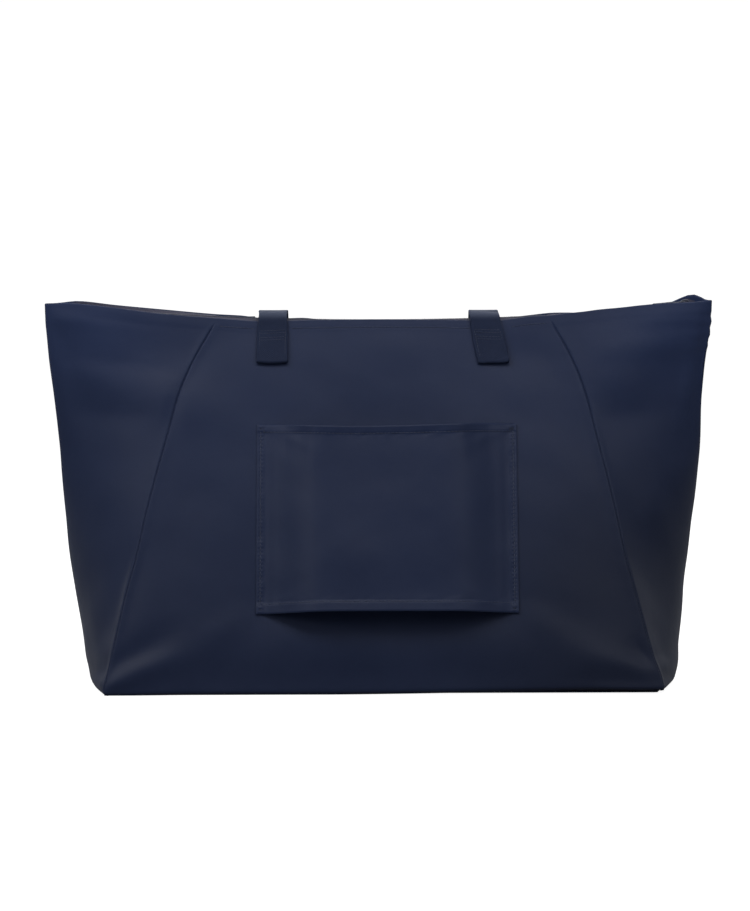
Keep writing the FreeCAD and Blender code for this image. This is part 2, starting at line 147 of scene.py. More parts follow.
class Waves:
    """Smooth repeatable noise: a sum of plane waves, about -1 to 1."""

    def __init__(self, seed, shortest, longest, count=18):
        random = np.random.default_rng(seed)
        lengths = np.exp(random.uniform(math.log(shortest), math.log(longest), count))
        directions = random.normal(size=(count, 3))
        directions /= np.linalg.norm(directions, axis=1)[:, None]
        self.vectors = directions * (2 * math.pi / lengths)[:, None]
        self.phases = random.uniform(0, 2 * math.pi, count)
        self.heights = (lengths / longest) ** 0.5
        self.heights /= np.sqrt((self.heights ** 2).sum() / 2) * 1.6

    def __call__(self, x, y, z):
        x, y, z = np.broadcast_arrays(x, y, z)
        total = np.zeros(x.shape)
        for k, phase, height in zip(self.vectors, self.phases, self.heights):
            total += height * np.sin(k[0] * x + k[1] * y + k[2] * z + phase)
        return total


BROAD_WAVES = Waves(11, 90, 210)
MID_WAVES = Waves(12, 34, 80)
FINE_WAVES = Waves(13, 13, 30)
PUCKER_WAVES = Waves(14, 7, 12, 10)
SLEEVE_WAVES = Waves(31, 45, 110)
SLEEVE_FINE_WAVES = Waves(32, 16, 34)


def run_length(points):
    """Length along a polyline, from 0."""
    return np.concatenate([[0], np.cumsum(np.linalg.norm(np.diff(points, axis=0), axis=1))])


def point_at(run, points, at):
    return np.stack([np.interp(at, run, points[:, k]) for k in range(3)], -1)


def resample(points, step):
    run = run_length(points)
    at = np.linspace(0, run[-1], int(round(run[-1] / step)) + 1)
    return point_at(run, points, at), at


def fillet(points, radii, steps=9):
    """Polyline with rounded corners, one radius per inner corner."""
    points = [np.asarray(p, float) for p in points]
    rounded = [points[0]]
    for before, corner, after, radius in zip(points, points[1:], points[2:], radii):
        back, ahead = before - corner, after - corner
        back_length, ahead_length = np.linalg.norm(back), np.linalg.norm(ahead)
        back, ahead = back / back_length, ahead / ahead_length
        angle = math.acos(np.clip(back @ ahead, -1, 1))
        if angle > math.pi - 1e-3 or radius <= 0:
            rounded.append(corner)
            continue
        cut = min(radius / math.tan(angle / 2), back_length * 0.49, ahead_length * 0.49)
        radius = cut * math.tan(angle / 2)
        bisector = (back + ahead) / np.linalg.norm(back + ahead)
        centre = corner + bisector * (radius / math.sin(angle / 2))
        start, end = corner + back * cut - centre, corner + ahead * cut - centre
        sweep = math.acos(np.clip(start @ end / (radius * radius), -1, 1))
        for k in range(steps + 1):
            share = k / steps
            spoke = math.sin((1 - share) * sweep) * start + math.sin(share * sweep) * end
            rounded.append(centre + spoke / math.sin(sweep))
    rounded.append(points[-1])
    return np.array(rounded)


# ---------------------------------------------------------------- meshes
def shade_smooth(mesh):
    mesh.polygons.foreach_set("use_smooth", [True] * len(mesh.polygons))


def new_mesh(name, points, faces, uv=None):
    """Object from points in mm; uv is one pair per point, in mm."""
    mesh = bpy.data.meshes.new(name)
    mesh.from_pydata((np.asarray(points, float) * MM).tolist(), [], faces)
    mesh.update()
    if uv is not None:
        layer = mesh.uv_layers.new(name="cloth")
        corners = np.empty(len(mesh.loops), np.int64)
        mesh.loops.foreach_get("vertex_index", corners)
        layer.data.foreach_set("uv", (uv[corners] * MM).astype(np.float32).ravel())
    shade_smooth(mesh)
    ob = bpy.data.objects.new(name, mesh)
    bpy.context.scene.collection.objects.link(ob)
    return ob


def weld(ob, distance):
    bm = bmesh.new()
    bm.from_mesh(ob.data)
    bmesh.ops.remove_doubles(bm, verts=bm.verts, dist=distance)
    bmesh.ops.recalc_face_normals(bm, faces=bm.faces)
    bm.to_mesh(ob.data)
    bm.free()


class Piece:
    """Gathers grids of points (mm) into one object. A grid is rows x columns x 3."""

    def __init__(self):
        self.points, self.faces, self.uv, self.weights = [], [], [], []
        self.count = 0

    def grid(self, points, uv=None, weight=None, close_rows=False, close_columns=False,
             flip=False):
        rows, columns = points.shape[:2]
        i, j = np.meshgrid(np.arange(rows if close_rows else rows - 1),
                           np.arange(columns if close_columns else columns - 1), indexing="ij")
        i2, j2 = (i + 1) % rows, (j + 1) % columns
        quad = [i * columns + j, i2 * columns + j, i2 * columns + j2, i * columns + j2]
        if flip:
            quad = quad[:1] + quad[:0:-1]
        self.faces += (np.stack(quad, -1).reshape(-1, 4) + self.count).tolist()
        count = rows * columns
        self.points.append(points.reshape(-1, 3))
        self.uv.append(np.zeros((count, 2)) if uv is None else uv.reshape(-1, 2))
        self.weights.append(np.zeros(count) if weight is None else weight.ravel())
        self.count += count

    def tube(self, rings, uv=None, weight=None, flip=False):
        """Closed rings with a cap at each end."""
        first, size = self.count, rings.shape[1]
        self.grid(rings, uv, weight, close_columns=True, flip=flip)
        start = list(range(first, first + size))
        end = list(range(self.count - size, self.count))
        self.faces += [start, end[::-1]] if flip else [start[::-1], end]

    def rims(self, face, backing, uv, weight=None, flip=False):
        """The four narrow strips that join a face to its backing."""
        if weight is None:
            weight = np.zeros(uv.shape[:2])
        for edge, a, b in ((np.s_[0], backing, face), (np.s_[-1], face, backing),
                           (np.s_[:, 0], face, backing), (np.s_[:, -1], backing, face)):
            self.grid(np.stack([a[edge], b[edge]]), np.stack([uv[edge]] * 2),
                      np.stack([weight[edge]] * 2), flip=flip)

    def moved(self, transform):
        self.points = [transform(points) for points in self.points]
        return self

    def build(self, name, material, slot, body=None, joint=None, replaces=(), sharp=None,
              weld_distance=None):
        """Makes the object. It rides on one body; given a joint, it is only baked in place and
        rides on no body, and its weights, 0 for the first body and 1 the second, are worked out
        but not stored. sharp is in degrees."""
        ob = new_mesh(name, np.vstack(self.points), self.faces, np.vstack(self.uv))
        ob["n"] = self.count
        if weld_distance:
            weld(ob, weld_distance)
        if sharp:
            shade_smooth(ob.data)
            ob.data.set_sharp_from_angle(angle=math.radians(sharp))
        ob.data.materials.append(material)
        if joint:
            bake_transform(ob)
            weights = np.concatenate(self.weights).astype(np.float32)
        else:
            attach(ob, body)
        if replaces:
            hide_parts(*replaces)


# ---------------------------------------------------------------- shader helpers
NAVY = (0.0104, 0.0178, 0.0492)


def feed(tree, target, inputs):
    """Sets inputs from values, or links them when the value is a socket."""
    for key, value in inputs.items():
        if isinstance(value, bpy.types.NodeSocket):
            tree.links.new(value, target.inputs[key])
        else:
            target.inputs[key].default_value = value


def node(tree, kind, inputs, **settings):
    made = tree.nodes.new(kind)
    for key, value in settings.items():
        setattr(made, key, value)
    feed(tree, made, inputs)
    return made


def calc(tree, operation, *values):
    return node(tree, "ShaderNodeMath", dict(enumerate(values)), operation=operation).outputs[0]


def vector_calc(tree, operation, inputs):
    return node(tree, "ShaderNodeVectorMath", inputs, operation=operation).outputs[0]


def noise(tree, place, scale, detail, roughness=0.5):
    return node(tree, "ShaderNodeTexNoise", {
        "Vector": place, "Scale": scale, "Detail": detail, "Roughness": roughness,
    }).outputs["Fac"]


def map_range(tree, value, source, result, interpolation="SMOOTHSTEP"):
    return node(tree, "ShaderNodeMapRange", {
        "Value": value, "From Min": source[0], "From Max": source[1],
        "To Min": result[0], "To Max": result[1],
    }, interpolation_type=interpolation).outputs[0]


def color_ramp(tree, factor, positions, colors):
    ramp = node(tree, "ShaderNodeValToRGB", {"Fac": factor})
    for element, position, color in zip(ramp.color_ramp.elements, positions, colors):
        element.position = position
        element.color = color
    return ramp.outputs[0]


def bump(tree, height, strength, distance, **normal):
    inputs = {"Height": height, "Strength": strength, "Distance": distance}
    return node(tree, "ShaderNodeBump", {**inputs, **normal}).outputs[0]


def scaled(color, factors, tone=1.0):
    return tuple(c * factor * tone for c, factor in zip(color, factors)) + (1,)


def object_place(tree):
    return node(tree, "ShaderNodeTexCoord", {}).outputs["Object"]


def uv_axes(tree):
    uv = node(tree, "ShaderNodeUVMap", {}, uv_map="cloth")
    return node(tree, "ShaderNodeSeparateXYZ", {0: uv.outputs[0]}).outputs[:2]


def threads(tree, coordinate, pitch):
    """Sine along a coordinate, pitch in mm."""
    turns = calc(tree, "MULTIPLY_ADD", coordinate, 2 * math.pi / (pitch * MM), 0.0)
    return calc(tree, "SINE", turns)


def new_material(name):
    material = bpy.data.materials.new(name)
    material.use_nodes = True
    tree = material.node_tree
    for old in list(tree.nodes):
        tree.nodes.remove(old)
    output = tree.nodes.new("ShaderNodeOutputMaterial")
    bsdf = tree.nodes.new("ShaderNodeBsdfPrincipled")
    tree.links.new(bsdf.outputs[0], output.inputs[0])
    return material, tree, bsdf


def set_sheen(tree, bsdf, specular, weight, roughness):
    feed(tree, bsdf, {
        "Specular IOR Level": specular, "Sheen Weight": weight,
        "Sheen Roughness": roughness, "Sheen Tint": (0.55, 0.62, 0.85, 1)})


# ---------------------------------------------------------------- materials
def coated_cloth(name, tone=1.0, rough=0.47, painted_low_shade=0.80, painted_corner_shade=0.40):
    """Densely woven navy cloth with a soft coated sheen."""
    weave_pitch = 0.42
    material, tree, bsdf = new_material(name)
    place = object_place(tree)
    broad = noise(tree, place, scale=7.0, detail=2.0)
    mid = noise(tree, place, scale=60.0, detail=3.0, roughness=0.6)
    fine = noise(tree, place, scale=900.0, detail=2.0)
    u, v = uv_axes(tree)
    warp = threads(tree, u, weave_pitch)
    weft = threads(tree, v, weave_pitch)
    weave = calc(tree, "MULTIPLY_ADD", calc(tree, "MULTIPLY", warp, weft), 0.5, 0.5)
    # mottling: shares of the three noises, and a trace of the weave
    mottle = calc(tree, "ADD", calc(tree, "MULTIPLY", broad, 0.55),
                  calc(tree, "MULTIPLY", mid, 0.30))
    mottle = calc(tree, "ADD", mottle, calc(tree, "MULTIPLY", fine, 0.15))
    mottle = calc(tree, "ADD", mottle, calc(tree, "MULTIPLY_ADD", weave, 0.06, -0.03))
    color = color_ramp(tree, mottle, positions=(0.34, 0.66), colors=(
        scaled(NAVY, (0.93, 0.93, 0.94), tone), scaled(NAVY, (1.07, 1.07, 1.06), tone)))
    # painted light and shade: paler along the mouth and the wings, where the top light falls,
    # and darker low down; ranges are object x and z
    x, _, z = node(tree, "ShaderNodeSeparateXYZ", {0: place}).outputs
    height = map_range(tree, z, source=(0.0, 0.30), result=(painted_low_shade, 1.05))
    wing = map_range(tree, calc(tree, "ABSOLUTE", x), source=(0.14, 0.25), result=(0.0, 1.0))
    painted_wing_light = map_range(tree, z, source=(0.20, 0.29), result=(0.0, 0.32))
    depth = calc(tree, "ADD", height, calc(tree, "MULTIPLY", wing, painted_wing_light))
    # painted shade: darker again in the lower corner on +x
    right = map_range(tree, x, source=(0.0, 0.20), result=(0.0, 1.0))
    foot = map_range(tree, z, source=(0.07, 0.25), result=(painted_corner_shade, 0.0))
    corner = calc(tree, "SUBTRACT", 1.0, calc(tree, "MULTIPLY", right, foot))
    depth = calc(tree, "MULTIPLY", depth, corner)
    feed(tree, bsdf, {
        "Base Color": vector_calc(tree, "SCALE", {0: color, "Scale": depth}),
        "Roughness": map_range(tree, mottle, source=(0.3, 0.7),
                               result=(rough - 0.05, rough + 0.07), interpolation="LINEAR")})
    set_sheen(tree, bsdf, specular=0.16, weight=0.035, roughness=0.45)
    grain = bump(tree, weave, strength=0.22, distance=0.00006)
    bsdf_normal = bump(tree, mid, strength=0.35, distance=0.0006, Normal=grain)
    feed(tree, bsdf, {"Normal": bsdf_normal})
    return material


def webbing(name, tone=1.0, rib_pitch=1.55, color=NAVY, painted_highlight=0.0):
    """Ribbed webbing: chevron ribs across it, cords along it. u runs across, v along.
    The highlight argument is a painted highlight: brightness added where it rolls over the mouth
    and faces the top light."""
    material, tree, bsdf = new_material(name)
    u, v = uv_axes(tree)
    place = object_place(tree)
    fine = noise(tree, place, scale=420.0, detail=3.0)
    broad = noise(tree, place, scale=30.0, detail=2.0)
    chevron = calc(tree, "PINGPONG", calc(tree, "ABSOLUTE", u), 0.0021)
    ribs = threads(tree, calc(tree, "ADD", v, chevron), rib_pitch)
    cords = threads(tree, u, 1.05)
    height = calc(tree, "ADD", calc(tree, "MULTIPLY", ribs, 0.35),
                  calc(tree, "MULTIPLY", calc(tree, "ABSOLUTE", cords), 0.65))
    mottle = calc(tree, "ADD", calc(tree, "MULTIPLY_ADD", height, 0.22, 0.28),
                  calc(tree, "MULTIPLY", fine, 0.3))
    mottle = calc(tree, "ADD", mottle, calc(tree, "MULTIPLY_ADD", broad, 0.2, -0.1))
    shade = color_ramp(tree, mottle, positions=(0.2, 0.85), colors=(
        scaled(color, (0.66, 0.66, 0.66), tone), scaled(color, (1.42, 1.40, 1.30), tone)))
    if painted_highlight:
        # painted highlight: paler where the strap rolls over the mouth and faces the top light
        z = node(tree, "ShaderNodeSeparateXYZ", {0: place}).outputs[2]
        roll = map_range(tree, z, source=(0.2932, 0.2995), result=(0.0, painted_highlight))
        highlight_tint = vector_calc(tree, "SCALE", {0: (1.0, 1.12, 1.45), "Scale": roll})
        shade = vector_calc(tree, "ADD", {0: shade, 1: highlight_tint})
    feed(tree, bsdf, {"Base Color": shade, "Roughness": 0.62})
    set_sheen(tree, bsdf, specular=0.15, weight=0.03, roughness=0.4)
    relief = bump(tree, height, strength=0.75, distance=0.00028)
    bsdf_normal = bump(tree, fine, strength=0.3, distance=0.0002, Normal=relief)
    feed(tree, bsdf, {"Normal": bsdf_normal})
    return material


def plain(name, color, rough, grain, metallic=0.0, specular=0.5, coat=0.0):
    """Even surface with a little grain; grain is the noise scale."""
    material, tree, bsdf = new_material(name)
    speckle = noise(tree, object_place(tree), scale=grain, detail=3.0)
    feed(tree, bsdf, {
        "Base Color": color_ramp(tree, speckle, positions=(0.3, 0.7), colors=(
            scaled(color, (0.8,) * 3), scaled(color, (1.2,) * 3))),
        "Roughness": map_range(tree, speckle, source=(0.0, 1.0),
                               result=(rough - 0.08, rough + 0.08), interpolation="LINEAR"),
        "Metallic": metallic,
        "Specular IOR Level": specular,
        "Coat Weight": coat,
        "Normal": bump(tree, speckle, strength=0.2, distance=0.0001)})
    return material


# the low and corner tone arguments set painted shade: darker low down and in the lower +x corner
CLOTH = coated_cloth("coated_cloth")
INSIDE_CLOTH = coated_cloth("cloth_inside", tone=0.85, rough=0.6)
SLEEVE_CLOTH = coated_cloth("sleeve_cloth", tone=0.97, painted_low_shade=0.92, painted_corner_shade=0.12)
# the webbing's highlight argument is a painted highlight on the roll over the mouth
WEBBING = webbing("webbing", tone=0.88, painted_highlight=0.040)
BINDING = webbing("binding_tape", tone=0.9, rib_pitch=0.9)
# paler and more purple than the cloth: a painted reflection of the white surroundings
ZIP_TAPE = webbing("zip_tape", rib_pitch=0.7, color=(0.050, 0.050, 0.082))
ZIP_COIL = plain("zip_coil", (0.020, 0.026, 0.048), rough=0.42, grain=900.0)
THREAD = plain("thread", (0.027, 0.036, 0.068), rough=0.55, grain=2500.0, specular=0.35)
TACK_THREAD = plain("tack_thread", (0.013, 0.019, 0.042), rough=0.6, grain=2500.0, specular=0.2)
METAL = plain("enamelled_metal", (0.034, 0.040, 0.062), rough=0.34, grain=500.0,
              metallic=0.35, coat=0.25)


# ---------------------------------------------------------------- the bag's surface
def seam_x(share):
    return spline(SEAM, share)


def arc_z(x, middle_z):
    """Height of an arc that shares the mouth's centre and crosses x = 0 at middle_z."""
    return ARC_Z - np.sqrt((ARC_Z - middle_z) ** 2 - np.asarray(x, float) ** 2)


def top_z(x):
    return arc_z(x, HEIGHT)


def half_depth(z):
    return FOOT_DEPTH - (FOOT_DEPTH - MOUTH_DEPTH) / HEIGHT * np.asarray(z, float)


def front_share(y):
    """0 at the back of the foot, 1 at its front."""
    return (y / FOOT_DEPTH + 1) / 2


def rim_dz(x, share):
    """Sag of the mouth's edge, from the back (share 0) to the front (share 1)."""
    mix = ease(0.3, 0.7, share)
    return spline(BACK_RIM, x) * (1 - mix) + spline(FRONT_RIM, x) * mix


def wing_dx(x, z):
    """Sideways shift of the ends; the left wing reaches a little further."""
    left = ease(140, 235, -x) * ease(-12, 6, z)
    right = ease(140, 235, x) * ease(20, 95, z)
    lumps = (0.45 * np.sin((z - 268.0) * 0.62) * ease(262, 276, z) * ease(302, 294, z)
             * ease(225, 262, x))
    foot = 2.6 * ease(150, 215, x) * (1 - ease(8, 30, z))
    return -3.5 * (left + right) + foot + lumps


def base_dz(x, y, z):
    """The back right part of the base edge is drawn up slightly."""
    return 3.2 * ease(-60, 225, x) * ease(20, -95, y) * ease(60, 0, z)


def crease(x, z, start, end, width, height, skew):
    """Soft fold along a segment in the x-z view; fades at both ends."""
    start = np.array(start, float)
    along = np.array(end, float) - start
    length = np.hypot(*along)
    along /= length
    u = ((x - start[0]) * along[0] + (z - start[1]) * along[1]) / length
    aside = -(x - start[0]) * along[1] + (z - start[1]) * along[0]
    fade = ease(-0.15, 0.25, u) * (1 - ease(0.6, 1.1, u))
    w = width * (0.7 + 0.6 * np.clip(u, 0, 1))
    return height * fade * (bell(aside, w) - skew * bell(aside - 1.6 * w, w))


def belly(x, z, side):
    """Fullness of a long panel: greatest low down, tucked in above the base edge."""
    t = np.clip(z / 300.0, 0, 1)
    across = np.clip(1 - (x / (0.96 * seam_x(t))) ** 2, 0, 1)
    low = np.sin(np.pi * t ** 0.55)
    tuck = np.sin(np.clip(z / 52.0, 0, 1) * np.pi / 2) ** 1.15
    fullness = 8.0
    if side == BACK:
        # flatter behind the sleeve
        fullness = 9.5 * (1 - 0.55 * ease(160, 85, np.abs(x)) * ease(18, 75, z)
                          * ease(285, 215, z))
    return fullness * across * low * tuck


def cloth_push(x, y, z, from_seam, side):
    """Outward displacement of the cloth: waves and folds, calm at seams, mouth and foot."""
    below_top = top_z(x) - z
    amount = ((1 - bell(from_seam, 13.0)) * ease(2.0, 34.0, below_top)
              * (0.35 + 0.65 * ease(0.0, 22.0, z)))
    mid_scale = 1.5 if side == END else 1.0
    waves = amount * (1.15 * BROAD_WAVES(x, y, z)
                      + 0.24 * MID_WAVES(x, y * 1.2, z) * mid_scale
                      + 0.03 * FINE_WAVES(x, y, z))
    back = 1 - ease(-6, 6, y)
    folds = 0
    for share, table in ((back, BACK_FOLDS), (1 - back, FRONT_FOLDS)):
        for fold in table:
            folds = folds + share * crease(x, z, *fold)
    return waves + (folds * (1 - 0.75 * bell(from_seam, 5.0)) * ease(0.0, 9.0, z)
                    * ease(0, 10, below_top))


def seam_push(from_seam, along):
    """Stitched seam: a sharp valley, puffed lips and small puckers."""
    valley = -1.15 * bell(from_seam, 0.62)
    lips = 0.10 * bell(from_seam - 2.6, 1.8)
    puckers = (0.09 * PUCKER_WAVES(along, 0.0 * along, 0.3 * along) * bell(from_seam, 7.0)
               * (1 - bell(from_seam, 1.2)))
    return valley + lips + puckers


def face_push(x, z, side):
    """Displacement of a long panel, shared by all that is sewn on it."""
    x, z = np.asarray(x, float), np.asarray(z, float)
    from_seam = np.maximum(seam_x(np.clip(z / top_z(x), 0, 1)) - np.abs(x), 0)
    return belly(x, z, side) + cloth_push(x, OUT[side] * half_depth(z), z, from_seam, side)


def on_face(u, v, w, side, follow=True):
    """Point on a long panel: u is x, v is up the panel, w outwards. follow adds the folds."""
    u, v, w = np.broadcast_arrays(*(np.asarray(a, float) for a in (u, v, w)))
    off = w + (face_push(u, v * LEAN_COS, side) if follow else 0.0)
    y = OUT[side] * (FOOT_DEPTH - LEAN_SIN * v + LEAN_COS * off)
    z = LEAN_COS * v + LEAN_SIN * off
    if follow:
        z = z + rim_dz(u, float(side)) * ease(70, 0, top_z(u) - LEAN_COS * v)
        if side == BACK:
            z = z + base_dz(u, -FOOT_DEPTH, LEAN_COS * v)
    return np.stack([u, y, z], -1)


def face_normal(side):
    return np.array([0, OUT[side] * LEAN_COS, LEAN_SIN])


# ---------------------------------------------------------------- main shell
ROW_SHARES = np.concatenate([
    [0, 0.004, 0.009, 0.015, 0.022], np.linspace(0.03, 0.93, 96),
    [0.938, 0.946, 0.953, 0.96, 0.9665, 0.972, 0.9775, 0.983, 0.988, 0.9925, 0.9965, 1.0]])
# Distances of the columns that crowd in at a seam
SEAM_STEPS = np.array([0.0, 0.5, 1.0, 1.6, 2.3, 3.2, 4.4, 6.0, 8.2, 11.0, 15.0])


def panel_columns():
    """Shares across a long panel, -1 to 1, closer together at the seams."""
    left = -1 + SEAM_STEPS / 180.0
    inner = 1 - 19.5 / 180.0
    return np.concatenate([left, np.linspace(-inner, inner, 58), -left[::-1]])


def end_columns():
    """Shares along half an end panel, from the seam to the middle fold."""
    return np.concatenate([SEAM_STEPS / 120.0, np.linspace(20.0 / 120.0, 0.93, 20),
                           [0.955, 0.975, 0.99, 1.0]])


def end_rows():
    """Plan curves of half an end panel: x, share of the half depth, distance from the seam."""
    rows = []
    phi = np.linspace(0, math.pi / 2, 900)
    for share in ROW_SHARES:
        x_power = np.interp(share, [0, 0.72, 0.86, 0.94, 1.0], [1.0, 1.0, 1.7, 4.0, 12.0])
        y_power = np.interp(share, [0, 0.25, 0.6, 1.0], [2.0, 1.6, 1.28, 1.1])
        seam, fold = seam_x(share), spline(END_FOLD, share)
        depth = float(half_depth(share * 299.0))
        x = seam + (fold - seam) * np.sin(phi) ** (2 / x_power)
        y = depth * np.maximum(np.cos(phi), 0) ** (2 / y_power)
        run = run_length(np.stack([x, y], -1))
        at = end_columns() * run[-1]
        rows.append((np.interp(at, run, x), np.interp(at, run, y) / depth, at))
    x, share, distance = (np.array(column) for column in zip(*rows))
    for grid in (x, share):
        for _ in range(3):
            grid[1:-1] = grid[1:-1] * 0.5 + 0.25 * (grid[:-2] + grid[2:])
    return x, share, distance


def shell_grid():
    """Even shell: rows up the bag, columns right round it from the back panel's -x seam.
    Returns x, y, z, distance from the seam, side, and share from back (0) to front (1)."""
    seam = seam_x(ROW_SHARES)[:, None]
    panel_x = seam * panel_columns()[None, :]
    panel = (panel_x, np.ones_like(panel_x), seam - np.abs(panel_x))
    end = end_rows()
    onward, backward = np.s_[:, 1:], np.s_[:, -2::-1]
    blocks = []
    for source, columns, x_sign, y_sign, side in (
            (panel, np.s_[:, :], 1, -1, BACK),
            (end, onward, 1, -1, END),
            (end, backward, 1, 1, END),
            (panel, backward, 1, 1, FRONT),
            (end, onward, -1, 1, END),
            (end, np.s_[:, -2:0:-1], -1, -1, END)):
        x, share, distance = (grid[columns] for grid in source)
        x, share = x_sign * x, y_sign * share
        z = top_z(x) * ROW_SHARES[:, None]
        blocks.append((x, share * half_depth(z), z, distance, np.full_like(x, side),
                       (share + 1) / 2))
    return [np.concatenate(parts, axis=1) for parts in zip(*blocks)]


def level(normals):
    """Normals turned into the x-y plane."""
    flat = normals.copy()
    flat[..., 2] = 0
    return flat / np.maximum(np.linalg.norm(flat, axis=-1, keepdims=True), 1e-6)


def shell_surface():
    """Outer face with all its relief: points, normals, and the even grid's x, z, side, share."""
    x, y, z, from_seam, side, share = shell_grid()
    points = np.stack([x, y, z], -1)
    around = np.roll(points, -1, 1) - np.roll(points, 1, 1)
    normals = np.cross(around, np.gradient(points, axis=0))
    normals /= np.maximum(np.linalg.norm(normals, axis=2, keepdims=True), 1e-9)
    t = z / top_z(x)
    push = np.zeros_like(x)
    for panel in (BACK, FRONT):
        on = side == panel
        push[on] = face_push(x[on], z[on], panel)
    on = side == END
    push[on] = (cloth_push(x[on], y[on], z[on], from_seam[on], END)
                + 1.4 * (1 - bell(from_seam[on], 26)) * np.sin(np.pi * np.clip(t[on], 0, 1)))
    push += seam_push(from_seam, z) * (1 - ease(0.965, 0.99, t))
    # hem step along the mouth, and the groove of its stitch line
    below_top = top_z(x) - z
    push += (0.12 * (1 - ease(6.4, 8.2, below_top))
             - 0.14 * bell(below_top - 5.4, 0.8) * (np.abs(x) < 132))
    points = points + normals * push[..., None]
    # round the foot, less so towards the ends
    rise = FOOT_RADIUS - np.clip(z, 0, FOOT_RADIUS)
    inward = FOOT_RADIUS - np.sqrt(np.maximum(FOOT_RADIUS ** 2 - rise ** 2, 0))
    inward *= 1 - 0.55 * ease(150, 205, np.abs(x))
    points = points - level(normals) * inward[..., None]
    points[..., 2] += rim_dz(x, share) * ease(70, 0, below_top) + base_dz(x, y, z)
    points[..., 0] += wing_dx(x, z)
    # keep the foot on the ground
    points[..., 2] = np.maximum(points[..., 2], 0.0)
    return points, normals, x, z, side, share


def build_shell():
    """Cloth shell: outer face, rolled rim and inner face. Returns the outer face."""
    points, normals, x, z, side, share = shell_surface()
    inner_stop = 8       # the inner face leaves out this many of the top rows
    uv_row = 50          # the row whose girth gives the ends their u
    girth = run_length(points[uv_row])
    uv = np.stack([np.where(side < END, x, girth[None, :]), z / LEAN_COS], -1)
    # the front panel's weight fades out above the hinge line
    fade_from = HEIGHT - 1.0
    top = np.maximum(top_z(x) - 0.5, HEIGHT + 3.0)
    weight = share * (1 - ease(0, 1, (points[..., 2] - fade_from) / (top - fade_from)))

    radius = CLOTH_THICK * 0.85
    edge, outward, up = points[-1], level(normals[-1]), np.array([0, 0, 1])
    rim = []
    for angle in np.radians(np.linspace(0, 180, 7)[1:]):
        rim.append(edge - outward * (radius * (1 - math.cos(angle)))
                   + up * (radius * math.sin(angle)))
    rim += [rim[-1] - up * drop for drop in (1.2, 2.4, 3.6)]
    inner = points - normals * (2 * radius)

    def wrap(outer, middle, inside):
        return np.concatenate([outer, middle, inside[:-inner_stop][::-1]])

    shell = Piece()
    shell.grid(wrap(points, np.array(rim), inner),
               wrap(uv, np.repeat(uv[-1:], len(rim), 0), uv),
               wrap(weight, np.repeat(weight[-1:], len(rim), 0), weight),
               close_rows=True, close_columns=True, flip=True)
    shell.build("bag_shell", CLOTH, "cloth", joint=("bag", "front"), replaces=(
        "back_panel", "front_panel", "side_panel_left", "side_panel_right"))
    return points, normals


def foot_half_width(y, depth):
    """Half width of the foot, bowed out between the seams."""
    seam, fold = SEAM[0, 1], END_FOLD[0, 1]
    return seam + (fold - seam) * (1 - (y / depth) ** 2)


def build_base():
    rows = np.sin(np.linspace(-math.pi / 2, math.pi / 2, 61))[:, None]
    columns = np.sin(np.linspace(-math.pi / 2, math.pi / 2, 121) * 0.999)[None, :]
    gap = 0.4
    y = rows * (FOOT_DEPTH - FOOT_RADIUS - gap)
    half_width = foot_half_width(y, FOOT_DEPTH) - FOOT_RADIUS - gap
    x = columns * half_width
    y = y * np.ones_like(x)
    from_edge = np.minimum((1 - np.abs(rows)) * (FOOT_DEPTH - FOOT_RADIUS),
                           (1 - np.abs(columns)) * half_width)
    lift = (0.25 + 0.9 * (1 - bell(from_edge, 14)) * (0.5 + 0.5 * MID_WAVES(x, y, 0))
            + 0.5 * bell(from_edge, 1.5))
    low = np.stack([x, y, lift], -1)
    high = low + np.array([0, 0, CLOTH_THICK])
    uv = np.stack([x, y], -1)
    weight = front_share(y)
    base = Piece()
    base.grid(low, uv, weight, flip=True)
    base.grid(high, uv, weight)
    base.rims(high, low, uv, weight)
    base.build("base_panel", CLOTH, "cloth", joint=("bag", "front"), sharp=50,
               replaces=("bottom_panel",))


# ---------------------------------------------------------------- stitches
def stitch(piece, start, end, normal, radius, sink=0.35):
    """One lock stitch: a bead of thread that dips by sink at both ends."""
    along = end - start
    length = np.linalg.norm(along)
    along = along / length
    aside = np.cross(normal, along)
    aside /= np.linalg.norm(aside)
    up = np.cross(along, aside)
    angles = np.linspace(0, 2 * math.pi, 6, endpoint=False)[:, None]
    section = np.cos(angles) * aside + np.sin(angles) * up * 0.8
    rings = []
    # share of length, share of radius, lift
    for share, thickness, lift in ((0.0, 0.45, -sink), (0.14, 0.95, 0.1), (0.5, 1.0, 0.32),
                                   (0.86, 0.95, 0.1), (1.0, 0.45, -sink)):
        centre = start + along * (length * share) + up * (lift * radius * 1.6)
        rings.append(centre + section * (radius * thickness))
    piece.tube(np.array(rings), flip=True)


def stitch_line(piece, points, normals, seed, pitch=3.0, length=2.3, radius=0.26, wobble=0.12):
    """Lock stitches along a polyline."""
    normals = np.broadcast_to(normals, points.shape)
    run = run_length(points)
    random = np.random.default_rng(seed + 1000)
    count = int(run[-1] // pitch)
    first = (run[-1] - count * pitch) / 2 + (pitch - length) / 2
    for i in range(count):
        start = first + i * pitch
        end = start + length
        jitter = random.normal(0, wobble, 3) * 0.4
        normal = point_at(run, normals, (start + end) / 2)
        stitch(piece, point_at(run, points, start) + jitter,
               point_at(run, points, end) - jitter * 0.5,
               normal / np.linalg.norm(normal), radius)


# ---------------------------------------------------------------- sleeve
SLEEVE_X, SLEEVE_HALF = 3.0, 105.0
SLEEVE_LOW, SLEEVE_HIGH = 64.0, 220.0     # up the panel
TOP_STITCH, FOOT_STITCH, SIDE_STITCH = 6.4, 8.2, 3.2     # stitch lines, in from the edges
